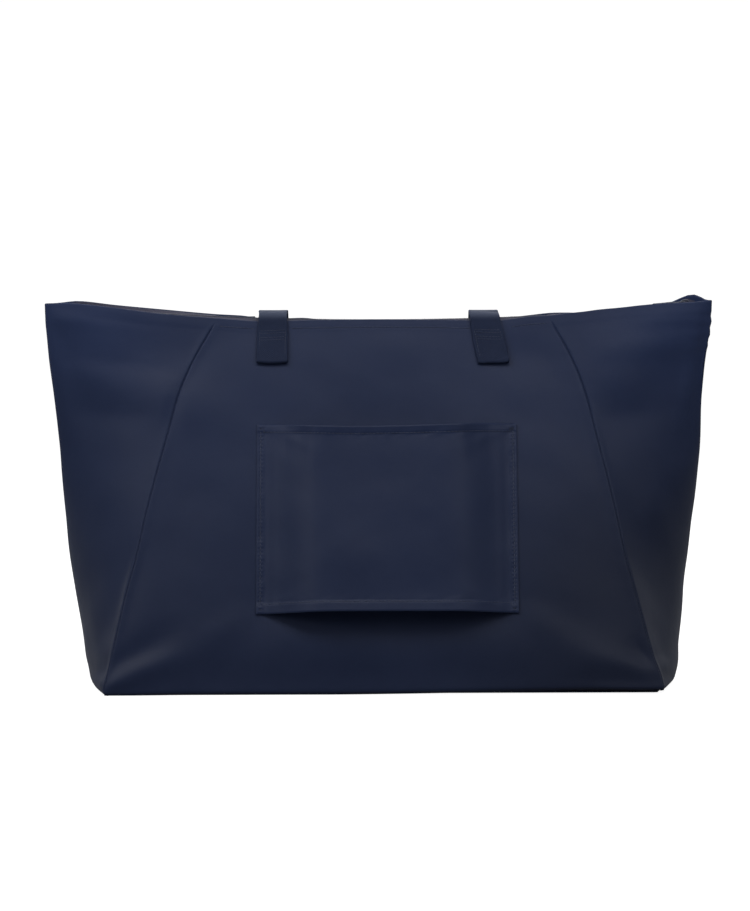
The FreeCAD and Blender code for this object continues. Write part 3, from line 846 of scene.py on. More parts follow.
# Height of the sleeve over the panel: (distance from its centre, height)
SLEEVE_PROFILE = np.array([
    (-105, 0.2), (-99, 0.4), (-94, 1.5), (-88, 4.0), (-82, 7.3), (-76, 10.9), (-70, 14.3),
    (-63, 17.5), (-55, 19.6), (-46, 20.5), (-30, 20.6), (0, 20.3), (30, 20.6), (46, 20.5),
    (55, 19.6), (63, 17.5), (70, 14.3), (76, 10.9), (82, 7.3), (88, 4.0), (94, 1.5),
    (99, 0.4), (105, 0.2)])
# Pull lines from the corners: corner u, corner v, direction u, direction v
SLEEVE_PULLS = (
    (-103, SLEEVE_HIGH, 1, -0.45), (103, SLEEVE_HIGH, -1, -0.5),
    (-103, SLEEVE_LOW, 1, 0.5), (103, SLEEVE_LOW, -1, 0.45))


def sleeve_share(v):
    return (v - SLEEVE_LOW) / (SLEEVE_HIGH - SLEEVE_LOW)


def sleeve_height(u, v):
    """Height of the sleeve over the panel, u from its centre and v up the panel."""
    # average over a span, which rounds the profile's corners
    w = sum(np.interp(u + k, *SLEEVE_PROFILE.T) for k in range(-12, 13, 3))
    w = w / 9.0 * ease(104, 90, np.abs(u)) + 0.25
    loose = ease(105, 96, np.abs(u))
    share = sleeve_share(v)
    # slack in the middle
    w = w - (1.0 * np.clip(1 - (u / 60.0) ** 2, 0, 1)
             * (0.6 + 0.4 * np.cos((share - 0.5) * math.pi)))
    w = w + loose * (0.4 * SLEEVE_WAVES(u, 0 * u, v) + 0.05 * SLEEVE_FINE_WAVES(u, 0 * u, v))
    for corner_u, corner_v, du, dv in SLEEVE_PULLS:
        size = math.hypot(du, dv)
        along = ((u - corner_u) * du + (v - corner_v) * dv) / size
        aside = (-(u - corner_u) * dv + (v - corner_v) * du) / size
        w = w + (loose * 0.45 * bell(aside, 5.0) * ease(0, 12, along)
                 * (1 - ease(22, 60, along)))
    # the top corners lie flatter
    w = w - (1.8 * ease(58, 72, np.abs(u)) * ease(0.70, 0.96, share)
             * np.clip(w / 8.0, 0, 1))
    return np.maximum(w, 0.25)


def sleeve_v(u, v, w):
    """v with wavy open edges, slid down the panel so that they look level from the back."""
    share = sleeve_share(v)
    top = 0.5 * np.sin(u / 105.0 * 3.1) - 0.9 * np.clip(1 - (u / 70.0) ** 2, 0, 1)
    foot = 0.4 * np.sin(u / 60.0 + 1.0)
    level_slide = w * (0.10 + 0.155 * share) - 0.8
    return v + top * share ** 3 + foot * (1 - share) ** 3 - level_slide


def sleeve_point(u, v, lift):
    w = sleeve_height(u, v)
    return on_face(SLEEVE_X + u, sleeve_v(u, v, w), w + lift, BACK)


def crowded(low, high, band, band_count, middle_count):
    """Steps from low to high, closer together in a band at each end."""
    return np.concatenate([
        np.linspace(low, low + band, band_count)[:-1],
        np.linspace(low + band, high - band, middle_count),
        np.linspace(high - band, high, band_count)[1:]])


def build_sleeve():
    u, v = np.meshgrid(
        crowded(-SLEEVE_HALF, SLEEVE_HALF, band=11, band_count=12, middle_count=129),
        crowded(0, SLEEVE_HIGH - SLEEVE_LOW, band=11, band_count=15, middle_count=153)
        + SLEEVE_LOW)
    w = sleeve_height(u, v)
    slid_v = sleeve_v(u, v, w)
    top, foot, sides = SLEEVE_HIGH - v, v - SLEEVE_LOW, SLEEVE_HALF - np.abs(u)
    hems = (0.5 * (1 - ease(6.6, 7.6, top)) + 0.6 * (1 - ease(8.4, 9.4, foot))
            + 0.45 * (1 - ease(5.4, 6.2, sides)))
    grooves = (-0.34 * bell(top - TOP_STITCH, 0.7) - 0.38 * bell(foot - FOOT_STITCH, 0.7)
               - 0.36 * bell(sides - SIDE_STITCH, 0.7))
    puckers = 0.16 * PUCKER_WAVES(u, v, 0) * (
        bell(top - 7, 3.0) + bell(foot - 9, 3.5) + bell(sides - 4, 3.0))
    flare = 1.1 * (1 - np.clip(top / 7.0, 0, 1)) ** 1.2 * ease(82, 66, np.abs(u))
    ladder = 0.28 * np.cos(2 * math.pi * v / 3.3) * bell(sides - 3.4, 1.5)
    near_edge = np.clip(1 - np.minimum(np.minimum(top, foot), sides) / 0.9, 0, 1)
    rounding = 0.55 * (1 - np.sqrt(np.clip(1 - near_edge ** 2, 0, 1)))
    outer_w = w + (1.0 + hems + grooves + puckers + ladder) - rounding + flare
    inner_w = np.maximum(w - 0.05, 0.12) + rounding * 0.3 + flare
    outer = on_face(SLEEVE_X + u, slid_v, outer_w, BACK)
    inner = on_face(SLEEVE_X + u, slid_v, inner_w, BACK)
    uv = np.stack([u, v], -1)
    sleeve = Piece()
    sleeve.grid(outer, uv, flip=True)
    sleeve.grid(inner, uv)
    sleeve.rims(outer, inner, uv, flip=True)
    sleeve.build("sleeve", SLEEVE_CLOTH, "cloth", body="bag", sharp=55,
                 weld_distance=0.00002, replaces=("trolley_sleeve",))


def build_sleeve_tacks():
    """Bar tacks at the sleeve's four corners."""
    tacks = Piece()
    for low in (SLEEVE_HIGH - 5.5, SLEEVE_LOW + 1.5):
        for hand in (-1, 1):
            for i in range(11):
                v = low + i * 0.36
                stitch(tacks, sleeve_point(hand * (SLEEVE_HALF - 6.2), v, 1.55),
                       sleeve_point(hand * (SLEEVE_HALF - 1.6), v + 0.18, 1.35),
                       face_normal(BACK), radius=0.2, sink=0.2)
    tacks.build("sleeve_bar_tacks", TACK_THREAD, "webbing", body="bag")


def build_sleeve_stitches():
    stitches = Piece()

    def line(start, end, lift, seed, **sizes):
        u, v = (np.linspace(a, b, 160) for a, b in zip(start, end))
        e = 0.5
        du = sleeve_point(u + e, v, lift) - sleeve_point(u - e, v, lift)
        dv = sleeve_point(u, v + e, lift) - sleeve_point(u, v - e, lift)
        normals = np.cross(du, dv)
        normals /= np.linalg.norm(normals, axis=1)[:, None]
        stitch_line(stitches, sleeve_point(u, v, lift), normals, seed, **sizes)

    side = SLEEVE_HALF - SIDE_STITCH
    for v, lift, seed in ((SLEEVE_HIGH - TOP_STITCH, 1.35, 1),
                          (SLEEVE_LOW + FOOT_STITCH, 1.25, 2)):
        line((-side, v), (side, v), lift, seed)
    for u, lift, seed, radius in ((-side, 1.2, 3, 0.36), (side, 1.2, 4, 0.36),
                                  (SLEEVE_HALF - 1.6, 1.1, 5, 0.3)):
        line((u, SLEEVE_LOW + 1.5), (u, SLEEVE_HIGH - 1.5), lift, seed,
             pitch=3.3, length=2.4, radius=radius)
    stitches.build("sleeve_stitches", THREAD, "webbing", body="bag")


# ---------------------------------------------------------------- ribbons
def frames(path, across):
    """Width direction squared up to the path, and the face normal."""
    tangent = np.gradient(path, axis=0)
    tangent /= np.linalg.norm(tangent, axis=1)[:, None]
    across = across - tangent * (across * tangent).sum(1)[:, None]
    across /= np.linalg.norm(across, axis=1)[:, None]
    return across, np.cross(tangent, across)


def ribbon(piece, path, across, width, thick, run, weight, columns=11, curl=0.0,
           sag=0.0, down=np.zeros(3)):
    """Webbing along a path with rounded selvedges. curl lifts the edges, sag moves the
    middle along down."""
    across, normal = frames(path, across)
    width, curl, sag = (np.broadcast_to(a, (len(path),)) for a in (width, curl, sag))
    flat = np.linspace(-1, 1, columns)
    turn = [math.radians(a) for a in (60, 30, 0, -30, -60)]
    # share of the flat, outwards and upwards shares of the selvedge's radius
    section = ([(q, 0, 1.0) for q in flat] + [(1, math.cos(a), math.sin(a)) for a in turn]
               + [(q, 0, -1.0) for q in flat[::-1]]
               + [(-1, -math.cos(a), math.sin(a)) for a in turn[::-1]])
    lines, uv = [], []
    for q, out, up in section:
        x = q * (width / 2 - thick / 2) + out * thick / 2
        # the woven edge is a little fatter
        fat = 1.0 + 0.10 * (abs(q) > 0.86) - 0.05 * (abs(q) < 0.5)
        lift = up * thick / 2 * fat + curl * q ** 2
        lines.append(path + across * x[:, None] + normal * lift[:, None]
                     + down * (sag * 0.9 * (1 - q ** 2))[:, None])
        uv.append(np.stack([x, run], -1))
    piece.tube(np.stack(lines, 1), np.stack(uv, 1),
               np.repeat(weight[:, None], len(section), 1), flip=True)


# ---------------------------------------------------------------- handles
X_AXIS = np.array([1.0, 0, 0])
WEB_THICK = 1.45
PIVOT_Z, PIVOT_OUT = 303.0, 2.9        # first bend: height, and distance off the panel
PIVOT_V = (PIVOT_Z - PIVOT_OUT * LEAN_SIN) / LEAN_COS
PIVOT_Y = FOOT_DEPTH - PIVOT_V * LEAN_SIN + PIVOT_OUT * LEAN_COS
FOLD = 20.4                            # between the first and the second bend
FRONT_DROP = 5.9                       # front tabs bend this far below the pivot
HANG = math.degrees(math.asin(LEAN_SIN)) - 90.0    # slope of the front panel, degrees
# For each side: half spacing of the legs, leg length, height of the arch
LOOPS = ((90.0, 105.0, 103.0), (118.0, 106.0, 127.0))
# Sideways lean of each tab at its top, by side
TAB_LEANS = ({-1: 0.6, 1: -7.6}, {-1: 1.5, 1: -1.0})
# How far each strip lies below its pivot, by side
STRIP_DROPS = ({-1: 2.6, 1: 3.3}, {-1: 0.0, 1: 0.0})
TAB_FOOT = 275.0                       # lower edge of the tabs, up the panel
# Turned-under foot and sewn part of a tab: (up the panel, off the panel)
TAB_PATH = ((290.0, 0.95), (TAB_FOOT, 0.95), (TAB_FOOT, 3.2), (291.0, 2.6), (304.0, 1.9))
# Cross rows of a tab's stitching: (up the panel, share of the width)
TAB_ROWS = ((303.5, 1.0), (301.2, 0.96), (297.4, 0.96), (295.2, 1.0), (281.2, 0.45),
            (278.6, 0.45))


class Strap:
    """Layout of one handle: its first bend (over), its second bend (fall), and directions."""

    def __init__(self, side):
        self.side = side
        self.tag, self.root = TAGS[side], BODIES[side]
        self.riser = self.tag + "_strap"
        self.half_gap, self.leg, self.arch = LOOPS[side]
        self.drop = STRIP_DROPS[side]
        self.top_x = {hand: self.half_gap * hand + TAB_LEANS[side][hand] for hand in (-1, 1)}
        first, second = (0.0, HANG) if side == BACK else (HANG + 3.0, HANG + 3.0)
        first, second = math.radians(first), math.radians(second)
        along = np.array([0, math.cos(first), math.sin(first)])
        self.down = np.array([0, math.cos(second), math.sin(second)])
        self.normal = np.array([0, -math.sin(second), math.cos(second)])
        self.over = np.array([0, OUT[side] * PIVOT_Y, PIVOT_Z])
        self.middle = self.over + along * (FOLD * 0.5)
        self.fall = self.over + along * FOLD

    def tab_x(self, hand, v):
        low = self.half_gap * hand
        return low + (self.top_x[hand] - low) * np.clip(
            (v - TAB_FOOT) / (PIVOT_V - TAB_FOOT), 0, 1)


def tab_path(strap, hand):
    """Sewn end of a strap: turned under at its foot, up the panel and over the first bend."""
    side, top_x = strap.side, strap.top_x[hand]
    points = [on_face(strap.tab_x(hand, v), v, w, side) for v, w in TAB_PATH]
    _, over_y, over_z = strap.over
    _, middle_y, middle_z = strap.middle
    if side == BACK:
        drop = strap.drop[hand]
        points += [(top_x, over_y + 0.6, over_z - drop), (top_x, middle_y, middle_z - drop)]
        radii = (1.1, 1.1, 14.0, 14.0, 12.0)
    else:
        top = on_face(top_x, PIVOT_V - FRONT_DROP - 1.2, 1.5, side)
        points += [top, top + np.array([0, 1.7, 1.0]), top + np.array([0, 3.3, -0.6]),
                   (top_x, middle_y + 0.4, middle_z)]
        radii = (1.1, 1.1, 14.0, 8.0, 1.1, 1.1, 3.0)
    return resample(fillet(points, radii), 0.8)


def build_tabs(strap):
    side = strap.side
    tabs, stitches = Piece(), Piece()
    for hand in (-1, 1):
        path, run = tab_path(strap, hand)
        across = np.tile(X_AXIS, (len(path), 1))
        narrowing = 1.2
        if side == BACK:
            tilt = -0.06 if hand > 0 else 0.0
            across[:, 2] = tilt * ease(-16, -2, run - run[-1] + FOLD * 0.5)
            pivot = strap.over + X_AXIS * strap.top_x[hand]
            bend = int(np.argmin(np.linalg.norm(path - pivot, axis=1)))
            reach = 3.2
            if hand < 0:
                narrowing = 2.6
        else:
            bend = int(np.argmax(path[:, 2]))
            reach = 4.6
        past = run - run[bend]
        ribbon(tabs, path, across, WEB_WIDTH - narrowing * ease(-22, 0, past), WEB_THICK, run,
               ease(-reach, reach, past), sag=bell(run - 15.5, 4.0),
               down=np.array([0, OUT[side] * LEAN_SIN, -LEAN_COS]))

        def tab_point(u, v):
            w = np.interp(v, [275.3, 292.0, 306.0], [2.65, 2.55, 1.9]) + 0.72
            return on_face(strap.tab_x(hand, v) + u, v, w, side)

        half = WEB_WIDTH / 2 - 2.2
        lines = [tab_point(np.linspace(-half * share, half * share, 24), v)
                 for v, share in TAB_ROWS]
        lines += [tab_point(u, np.linspace(278.0, 303.5, 24)) for u in (-half, half)]
        for i, line in enumerate(lines):
            stitch_line(stitches, line, face_normal(side), pitch=2.5, length=1.9, radius=0.22,
                        seed=i + 40 * side + (7 if hand > 0 else 0))
    tag = strap.tag
    tabs.build("tabs_" + tag, WEBBING, "webbing", joint=(strap.root, strap.riser), sharp=50,
               replaces=(tag + "_tab_left", tag + "_tab_right",
                         tag + "_strap_fold_left", tag + "_strap_fold_right"))
    stitches.build("tab_stitches_" + tag, THREAD, "webbing", body=strap.root)


def build_loop(strap):
    """The far half of the strips over the mouth, and the hanging loop."""
    half_gap, half_web = strap.half_gap, WEB_WIDTH / 2

    def leg(hand):
        """Rows of x, distance down, distance off the fall, twist."""
        steps, first, twist_from = 26, 3.0, 14.0
        start = strap.top_x[hand]
        down = first + (strap.leg - first) * np.arange(steps + 1) / steps
        u = np.clip((down - twist_from) / (strap.leg - twist_from), 0, 1)
        twist = math.pi / 2 * ease(0, 1, u)
        x = (start + (hand * half_gap - start) * ease(0, 0.9, u)
             - hand * 1.6 * np.sin(u * math.pi))
        off = half_web * np.sin(twist)
        return np.stack([x, down, off, twist if hand < 0 else math.pi - twist], -1)

    phi = math.pi * np.arange(1, 60) / 60
    arch = np.stack([
        -half_gap * np.cos(phi),
        strap.leg + strap.arch * np.sin(phi) - 2.5 * np.sin(2 * phi) ** 2,
        np.full_like(phi, half_web),
        np.full_like(phi, math.pi / 2)], -1)
    x, down, off, twist = np.concatenate([leg(-1), arch, leg(1)[::-1]]).T
    path = (strap.fall + np.outer(x, X_AXIS) + np.outer(down, strap.down)
            + np.outer(off, strap.normal))

    def lead(hand, end):
        """From the middle of the fold over the second bend."""
        shift = np.array([strap.top_x[hand], 0, -strap.drop[hand]])
        radius = 4.0 if strap.side == BACK else 0
        return fillet([strap.middle + shift, strap.fall + shift, end], [radius])

    left, right = lead(-1, path[0]), lead(1, path[-1])[::-1]
    twist = np.concatenate([np.zeros(len(left) - 1), twist, np.full(len(right) - 1, math.pi)])
    path = np.concatenate([left[:-1], path, right[1:]])
    run = run_length(path)
    at = np.linspace(0, run[-1], int(run[-1] / 1.1))
    path, twist = point_at(run, path, at), np.interp(at, run, twist)
    from_end = np.minimum(at, run[-1] - at)
    for _ in range(6):
        relaxed = path[1:-1] * 0.5 + 0.25 * (path[:-2] + path[2:])
        path[1:-1] = np.where(from_end[1:-1, None] > 22, relaxed, path[1:-1])

    # square to the path and the loop's plane, but held to the x axis near both ends,
    # where the path bends out of that plane
    tangent = np.gradient(path, axis=0)
    tangent /= np.linalg.norm(tangent, axis=1)[:, None]
    aside = np.cross(tangent, strap.normal)
    aside /= np.maximum(np.linalg.norm(aside, axis=1), 1e-6)[:, None]
    near_end, first_half = from_end < 24, at < run[-1] / 2
    aside[near_end & first_half] = X_AXIS
    aside[near_end & ~first_half] = -X_AXIS
    across = aside * np.cos(twist)[:, None] + strap.normal * np.sin(twist)[:, None]

    joint_at, reach = FOLD * 0.5, 2.4
    loop = Piece()
    ribbon(loop, path, across, WEB_WIDTH - 1.4 * (1 - ease(4, 40, from_end)), WEB_THICK, at,
           ease(joint_at - reach, joint_at + reach, from_end),
           curl=0.5 * np.sin(at / 37.0) * ease(30, 90, from_end))
    loop.build("loop_" + strap.tag, WEBBING, "webbing", sharp=50,
               joint=(strap.riser, strap.tag + "_loop"),
               replaces=(strap.tag + "_handle_loop",))


# ---------------------------------------------------------------- zip
TOOTH_PITCH = 1.72
COIL_HALF_LENGTH = 254.0
POCKET_COIL_HALF_LENGTH = 96.0
# Inside pocket's zip: up the panel, off the panel, and the x of its slider
POCKET_ZIP_V, POCKET_ZIP_W, POCKET_SLIDER_X = 240.0, -5.2, 84.0
# A tooth along its length: (share, half width, half height)
TOOTH = ((0.0, 0.30, 0.85), (0.12, 0.42, 1.0), (0.62, 0.40, 0.86), (0.82, 0.52, 0.92),
         (0.95, 0.42, 0.62), (1.0, 0.16, 0.25))


def mouth_half(x):
    """Half width inside the mouth's rims."""
    q = np.clip((np.abs(x) - 135.0) / 137.5, 0, 1)
    return half_depth(top_z(x)) * np.maximum(1 - q ** 12.0, 0) ** (1 / 1.1) - 2.1


def build_zip_tape(side):
    sign = OUT[side]
    x = np.linspace(-257.5, 257.5, 516)
    inner, outer = 2.5, np.minimum(mouth_half(x), 8.4)
    if side == FRONT:
        # lower and narrower where the front straps cross it
        under = np.exp(-((np.abs(x) - LOOPS[FRONT][0]) / 15.0) ** 4)
        puff = 1.9 + np.clip(spline(FRONT_RIM, x), -4.5, 7.0) - 3.0 * under
        outer = outer - 1.6 * under
    else:
        puff = np.clip(1.2 + spline(BACK_RIM, x), -3.0, 1.5)
    share = np.linspace(0, 1, 12)[None, :]
    y = sign * (inner + (outer[:, None] - inner) * share)
    power = 1.3 + 1.3 * ease(212, 230, np.abs(x))
    z = (arc_z(x, ZIP_Z)[:, None] + puff[:, None] * share ** power[:, None]
         + 0.05 * np.sin(x * 2 * math.pi / 2.4)[:, None] * share)
    x = np.broadcast_to(x[:, None], y.shape)
    upper = np.stack([x, y, z + 0.25], -1)
    lower = upper - np.array([0, 0, 0.5])
    uv = np.stack([np.abs(y), x], -1)
    tape = Piece()
    tape.tube(np.concatenate([upper, lower[:, ::-1]], 1),
              np.concatenate([uv, uv[:, ::-1]], 1), flip=side == FRONT)
    tape.build("zip_tape_" + TAGS[side] + "_cloth", ZIP_TAPE, "zip_tape", body="bag",
               sharp=60, replaces=("zip_tape_" + TAGS[side],))


def teeth(sign, half_length, place):
    """Row of teeth that mesh with the other row; place(at, dx, dy, dz) gives points."""
    row = Piece()
    angles = np.linspace(0, 2 * math.pi, 6, endpoint=False)
    root, tip = 3.0, -0.95
    for i in range(int(2 * half_length / TOOTH_PITCH)):
        at = -half_length + (i + (0.5 if sign > 0 else 0.0)) * TOOTH_PITCH
        rings = [place(at, wide * np.cos(angles), sign * (root + (tip - root) * share),
                       high * np.sin(angles)) for share, wide, high in TOOTH]
        row.tube(np.array(rings), flip=sign < 0)
    return row


def build_zip_teeth(side):
    def place(at, dx, dy, dz):
        return np.stack([at + dx, dy + 0 * dx, arc_z(at, ZIP_Z) + dz], -1)

    teeth(OUT[side], COIL_HALF_LENGTH, place).build(
        "zip_teeth_" + TAGS[side], ZIP_COIL, "zip_coil", body="bag",
        replaces=("zip_coil_" + TAGS[side],))


# ---------------------------------------------------------------- sliders and pulls
def outline(x0, x1, half0, half1, radius, steps=8):
    """Rounded outline with half height half0 at x0 and half1 at x1, counter-clockwise."""
    points = []
    for x, y, first in ((x1, -half1, -90), (x1, half1, 0), (x0, half0, 90), (x0, -half0, 180)):
        centre_x = x - math.copysign(radius, x - (x0 + x1) / 2)
        centre_y = y - math.copysign(radius, y)
        for k in range(steps + 1):
            angle = math.radians(first + 90.0 * k / steps)
            points.append((centre_x + radius * math.cos(angle),
                           centre_y + radius * math.sin(angle)))
    return np.array(points)


def ring_at(points, inset, z):
    """Outline set in by a distance, at height z."""
    along = np.roll(points, -1, 0) - np.roll(points, 1, 0)
    along /= np.linalg.norm(along, axis=1)[:, None]
    moved = points + np.stack([-along[:, 1], along[:, 0]], 1) * inset
    return np.concatenate([moved, np.full((len(points), 1), z)], 1)


def plate(piece, shape, z0, z1, bevel, dome=0.0, hole=None):
    """Plate with rounded edges, domed on top or with a hole of as many points."""
    turn = [math.radians(a) for a in (0, 30, 60, 90)]
    edge = [(bevel * (1 - math.sin(a)), z1 - bevel * (1 - math.cos(a))) for a in turn]
    edge += [(bevel * (1 - math.sin(a)), z0 + bevel * (1 - math.cos(a))) for a in turn[::-1]]
    rings = [ring_at(shape, inset, z) for inset, z in edge]
    if hole is not None:
        rings += [ring_at(hole, -inset, z) for inset, z in edge[::-1]]
        piece.grid(np.array(rings), close_rows=True, close_columns=True, flip=True)
        return
    if dome:
        top = rings[0]
        centre = top.mean(0)
        caps = []
        for share in (0.25, 0.5, 0.75):
            cap = centre + (top - centre) * share
            cap[:, 2] = top[:, 2] + dome * (1 - share ** 2)
            caps.append(cap)
        rings = caps + rings
    piece.tube(np.array(rings), flip=True)


def slider_body():
    slider = Piece()
    shape = outline(-6.0, 6.0, 3.9, 4.7, 1.9)
    plate(slider, shape, 1.45, 2.7, bevel=0.42, dome=0.25)
    plate(slider, shape, -2.7, -1.45, bevel=0.42)
    # flanges along both sides
    flange = outline(-3.9, 4.0, 0.55, 0.55, 0.4, steps=4)
    for sign in (-1, 1):
        for z0, z1 in ((0.55, 1.7), (-1.7, -0.55)):
            plate(slider, flange + np.array([0, sign * 4.0]), z0, z1, bevel=0.18)
    # post between the plates
    plate(slider, outline(2.1, 5.3, 0.3, 0.32, 0.2, steps=4), -1.6, 1.6, bevel=0.08)
    # flattened wire arch that holds the pull
    a = np.linspace(-1, 1, 25)
    arch = np.stack([4.0 * np.sign(a) * np.abs(a) ** 0.85, np.zeros(25),
                     2.3 + 3.0 * (1 - np.abs(a) ** 3.2)], -1)
    y_axis = np.array([0.0, 1.0, 0.0])
    _, aside = frames(arch, np.tile(-y_axis, (len(arch), 1)))
    aside = -np.cross(np.gradient(arch, axis=0), y_axis)
    aside /= np.linalg.norm(aside, axis=1)[:, None]
    angles = np.linspace(0, 2 * math.pi, 12, endpoint=False)[None, :, None]
    slider.tube(arch[:, None, :] + np.cos(angles) * aside[:, None, :] * 0.55
                + np.sin(angles) * y_axis)
    return slider


def slider_pull(length):
    pull = Piece()
    z = 4.05
    plate(pull, outline(-9.5, 0.50, 3.1, 2.9, 0.8, steps=6), z - 0.42, z + 0.42, bevel=0.2,
          hole=outline(-7.0, -0.42, 1.55, 1.55, 0.45, steps=6))
    plate(pull, outline(-length, -7.4, 3.2, 2.9, 1.6, steps=6), z - 0.68, z + 0.68, bevel=0.34,
          hole=outline(-length + 2.8, -length + 8.6, 1.35, 1.35, 1.2, steps=6))
    # raised spine
    plate(pull, outline(-length + 10.6, -8.8, 1.7, 1.4, 0.9, steps=6), z - 0.8, z + 0.85,
          bevel=0.25, dome=0.08)
    return pull


def onto_zip(points):
    """Swings a piece made at the origin along the zip's arc, to its parking place at +x."""
    park = -math.asin(247.0 / (ARC_Z - ZIP_Z))
    x, y, z = points[:, 0], points[:, 1], points[:, 2] + (ZIP_Z - ARC_Z)
    return np.stack([x * math.cos(park) + z * math.sin(park), y,
                     -x * math.sin(park) + z * math.cos(park) + ARC_Z], 1)


def onto_pocket(points):
    """Turns a piece made at the origin to face into the bag, on the pocket's zip."""
    x, y, z = points.T
    return on_face(x + POCKET_SLIDER_X, -y + POCKET_ZIP_V, -z + POCKET_ZIP_W, BACK,
                   follow=False)


def build_sliders():
    for piece, move, name, body, replaced in (
            (slider_body(), onto_zip, "slider_body", "slider", "zip_slider"),
            (slider_pull(26.0), onto_zip, "slider_tag", "pull", "zip_pull"),
            (slider_body(), onto_pocket, "pocket_slider_body", "pocket_slide", "pocket_slider"),
            (slider_pull(24.0), onto_pocket, "pocket_slider_tag", "pocket_tag", "pocket_pull")):
        piece.moved(move).build(name, METAL, "zip_metal", body=body, sharp=40,
                                replaces=(replaced,))


def build_zip_end(hand, name):
    """Cloth tab that closes one end of the zip."""
    start, end = (251.0, 267.5) if hand > 0 else (253.0, 271.0)
    x = np.linspace(start, end, 44)
    q = np.linspace(-1, 1, 21)[None, :]
    y = np.clip(mouth_half(x) - 0.3, 0.9, 6.6)[:, None] * q
    share = (x - start) / (end - start)
    zip_z = arc_z(x, ZIP_Z)
    rim_z = top_z(x) + spline(BACK_RIM, hand * x) + 0.5 * np.sin(share * math.pi)
    low_z = zip_z + 1.2
    z = (low_z + (rim_z - low_z) * ease(0.55, 0.95, share))[:, None]
    z = (z - (0.5 + 0.3 * np.sin(x * 0.9))[:, None] * np.abs(q) ** 3
         + 0.12 * np.sin(x[:, None] * 2.1 + 3 * q))
    under_z = np.minimum((zip_z - 1.2)[:, None], z - 0.9)
    x = np.broadcast_to((hand * x)[:, None], y.shape) - 3.0
    upper = np.stack([x, y, z], -1)
    lower = np.stack([x, y * 0.8, under_z], -1)
    rings = np.concatenate([upper, lower[:, ::-1]], 1)
    tab = Piece()
    tab.tube(rings, rings[..., :2], flip=hand < 0)
    tab.build("zip_end_" + name, CLOTH, "cloth", body="bag", sharp=60,
              replaces=("zip_end_tab_" + name,))


# ---------------------------------------------------------------- inside the bag
def strip(name, replaced, path, across, width, thick=1.3, material=BINDING, slot="binding",
          **hold):
    """Flat tape along a path; hold is the body or the joint it goes with."""
    path, run = resample(path, 3.0)
    tape = Piece()
    ribbon(tape, path, np.tile(np.asarray(across, float), (len(path), 1)), width, thick, run,
           front_share(path[:, 1]), columns=5)
    tape.build(name, material, slot, sharp=50, replaces=(replaced,), **hold)


UP_PANEL = (0, LEAN_SIN, LEAN_COS)


def build_bindings():
    """Tapes inside the upright seams and round the base."""
    for side in (BACK, FRONT):
        tag, body = TAGS[side], BODIES[side]
        for hand, name in LEFT_RIGHT:
            v = np.linspace(6, 296, 60)
            x = hand * (seam_x(v * LEAN_COS / 298.0) - 8.0)
            strip(f"binding_tape_{tag}_{name}", f"binding_{tag}_{name}",
                  on_face(x, v, -3.4, side), across=(1, 0, 0), width=10.0, body=body)
        strip("binding_tape_base_" + tag, "binding_base_" + tag,
              on_face(np.linspace(-203, 203, 90), 8.5, -5.4, side), across=UP_PANEL,
              width=9.5, body=body)
    for hand, name in LEFT_RIGHT:
        y = np.linspace(-94, 94, 60)
        path = np.stack([hand * (foot_half_width(y, 104.0) - 6.0), y, np.full(60, 8.5)], -1)
        strip("binding_tape_base_" + name, "binding_base_" + name, path, across=(0, 0, 1),
              width=8.5, joint=("bag", "front"))


def build_pocket():
    """Slack cloth panel inside the back panel."""
    u, v = np.meshgrid(np.linspace(-100, 100, 61), np.linspace(70, 228.5, 49))
    middle = np.cos(u / 100 * math.pi / 2)
    w = (-2.6 - 1.6 * bell(v - 150, 60.0) * middle + 0.25 * MID_WAVES(u, v, 3.0) * middle
         - 2.2 * ease(214, 228, v))
    face = on_face(u, v, w, BACK, follow=False)
    backing = on_face(u, v, w + 0.6, BACK, follow=False)
    uv = np.stack([u, v], -1)
    pocket = Piece()
    pocket.grid(face, uv)
    pocket.grid(backing, uv, flip=True)
    pocket.rims(face, backing, uv)
    pocket.build("pocket_cloth", INSIDE_CLOTH, "cloth", body="bag", weld_distance=0.00002,
                 replaces=("pocket_panel",))


def build_pocket_zip():
    def place(at, dx, dy, dz):
        return on_face(at + dx, POCKET_ZIP_V + dy, POCKET_ZIP_W + dz, BACK, follow=False)

    for sign, name in ((-1, "lower"), (1, "upper")):
        path = place(0.0, np.linspace(-98, 98, 60), sign * 7.3, 0.0)
        strip("pocket_zip_tape_" + name, "pocket_tape_" + name, path, across=UP_PANEL,
              width=9.2, thick=0.55, material=ZIP_TAPE, slot="zip_tape", body="bag")
        teeth(sign, POCKET_COIL_HALF_LENGTH, place).build(
            "pocket_zip_teeth_" + name, ZIP_COIL, "zip_coil", body="bag",
            weld_distance=0.000001, replaces=("pocket_coil_" + name,))


# ---------------------------------------------------------------- stitches on the shell
def build_seam_stitches(points, normals):
    """Fine stitches in the long seams, along the shell's own seam columns."""
    panel_span = len(panel_columns()) - 1
    front_seam = panel_span + 2 * (len(end_columns()) - 1)
    # for each side, the columns of its -x and +x seams
    columns = ((0, panel_span), (front_seam + panel_span, front_seam))
    for side in (BACK, FRONT):
        stitches = Piece()
        for hand, column in zip((-1, 1), columns[side]):
            line, normal = points[:, column], normals[:, column]
            keep = (line[:, 2] > 4) & (line[:, 2] < 286)
            line, normal = line[keep], normal[keep]
            stitch_line(stitches, line + normal * 0.25, normal, pitch=2.9, length=1.9,
                        radius=0.2, wobble=0.15, seed=300 + side * 10 + hand)
        stitches.build("seam_stitches_" + TAGS[side], TACK_THREAD, "cloth", body=BODIES[side])


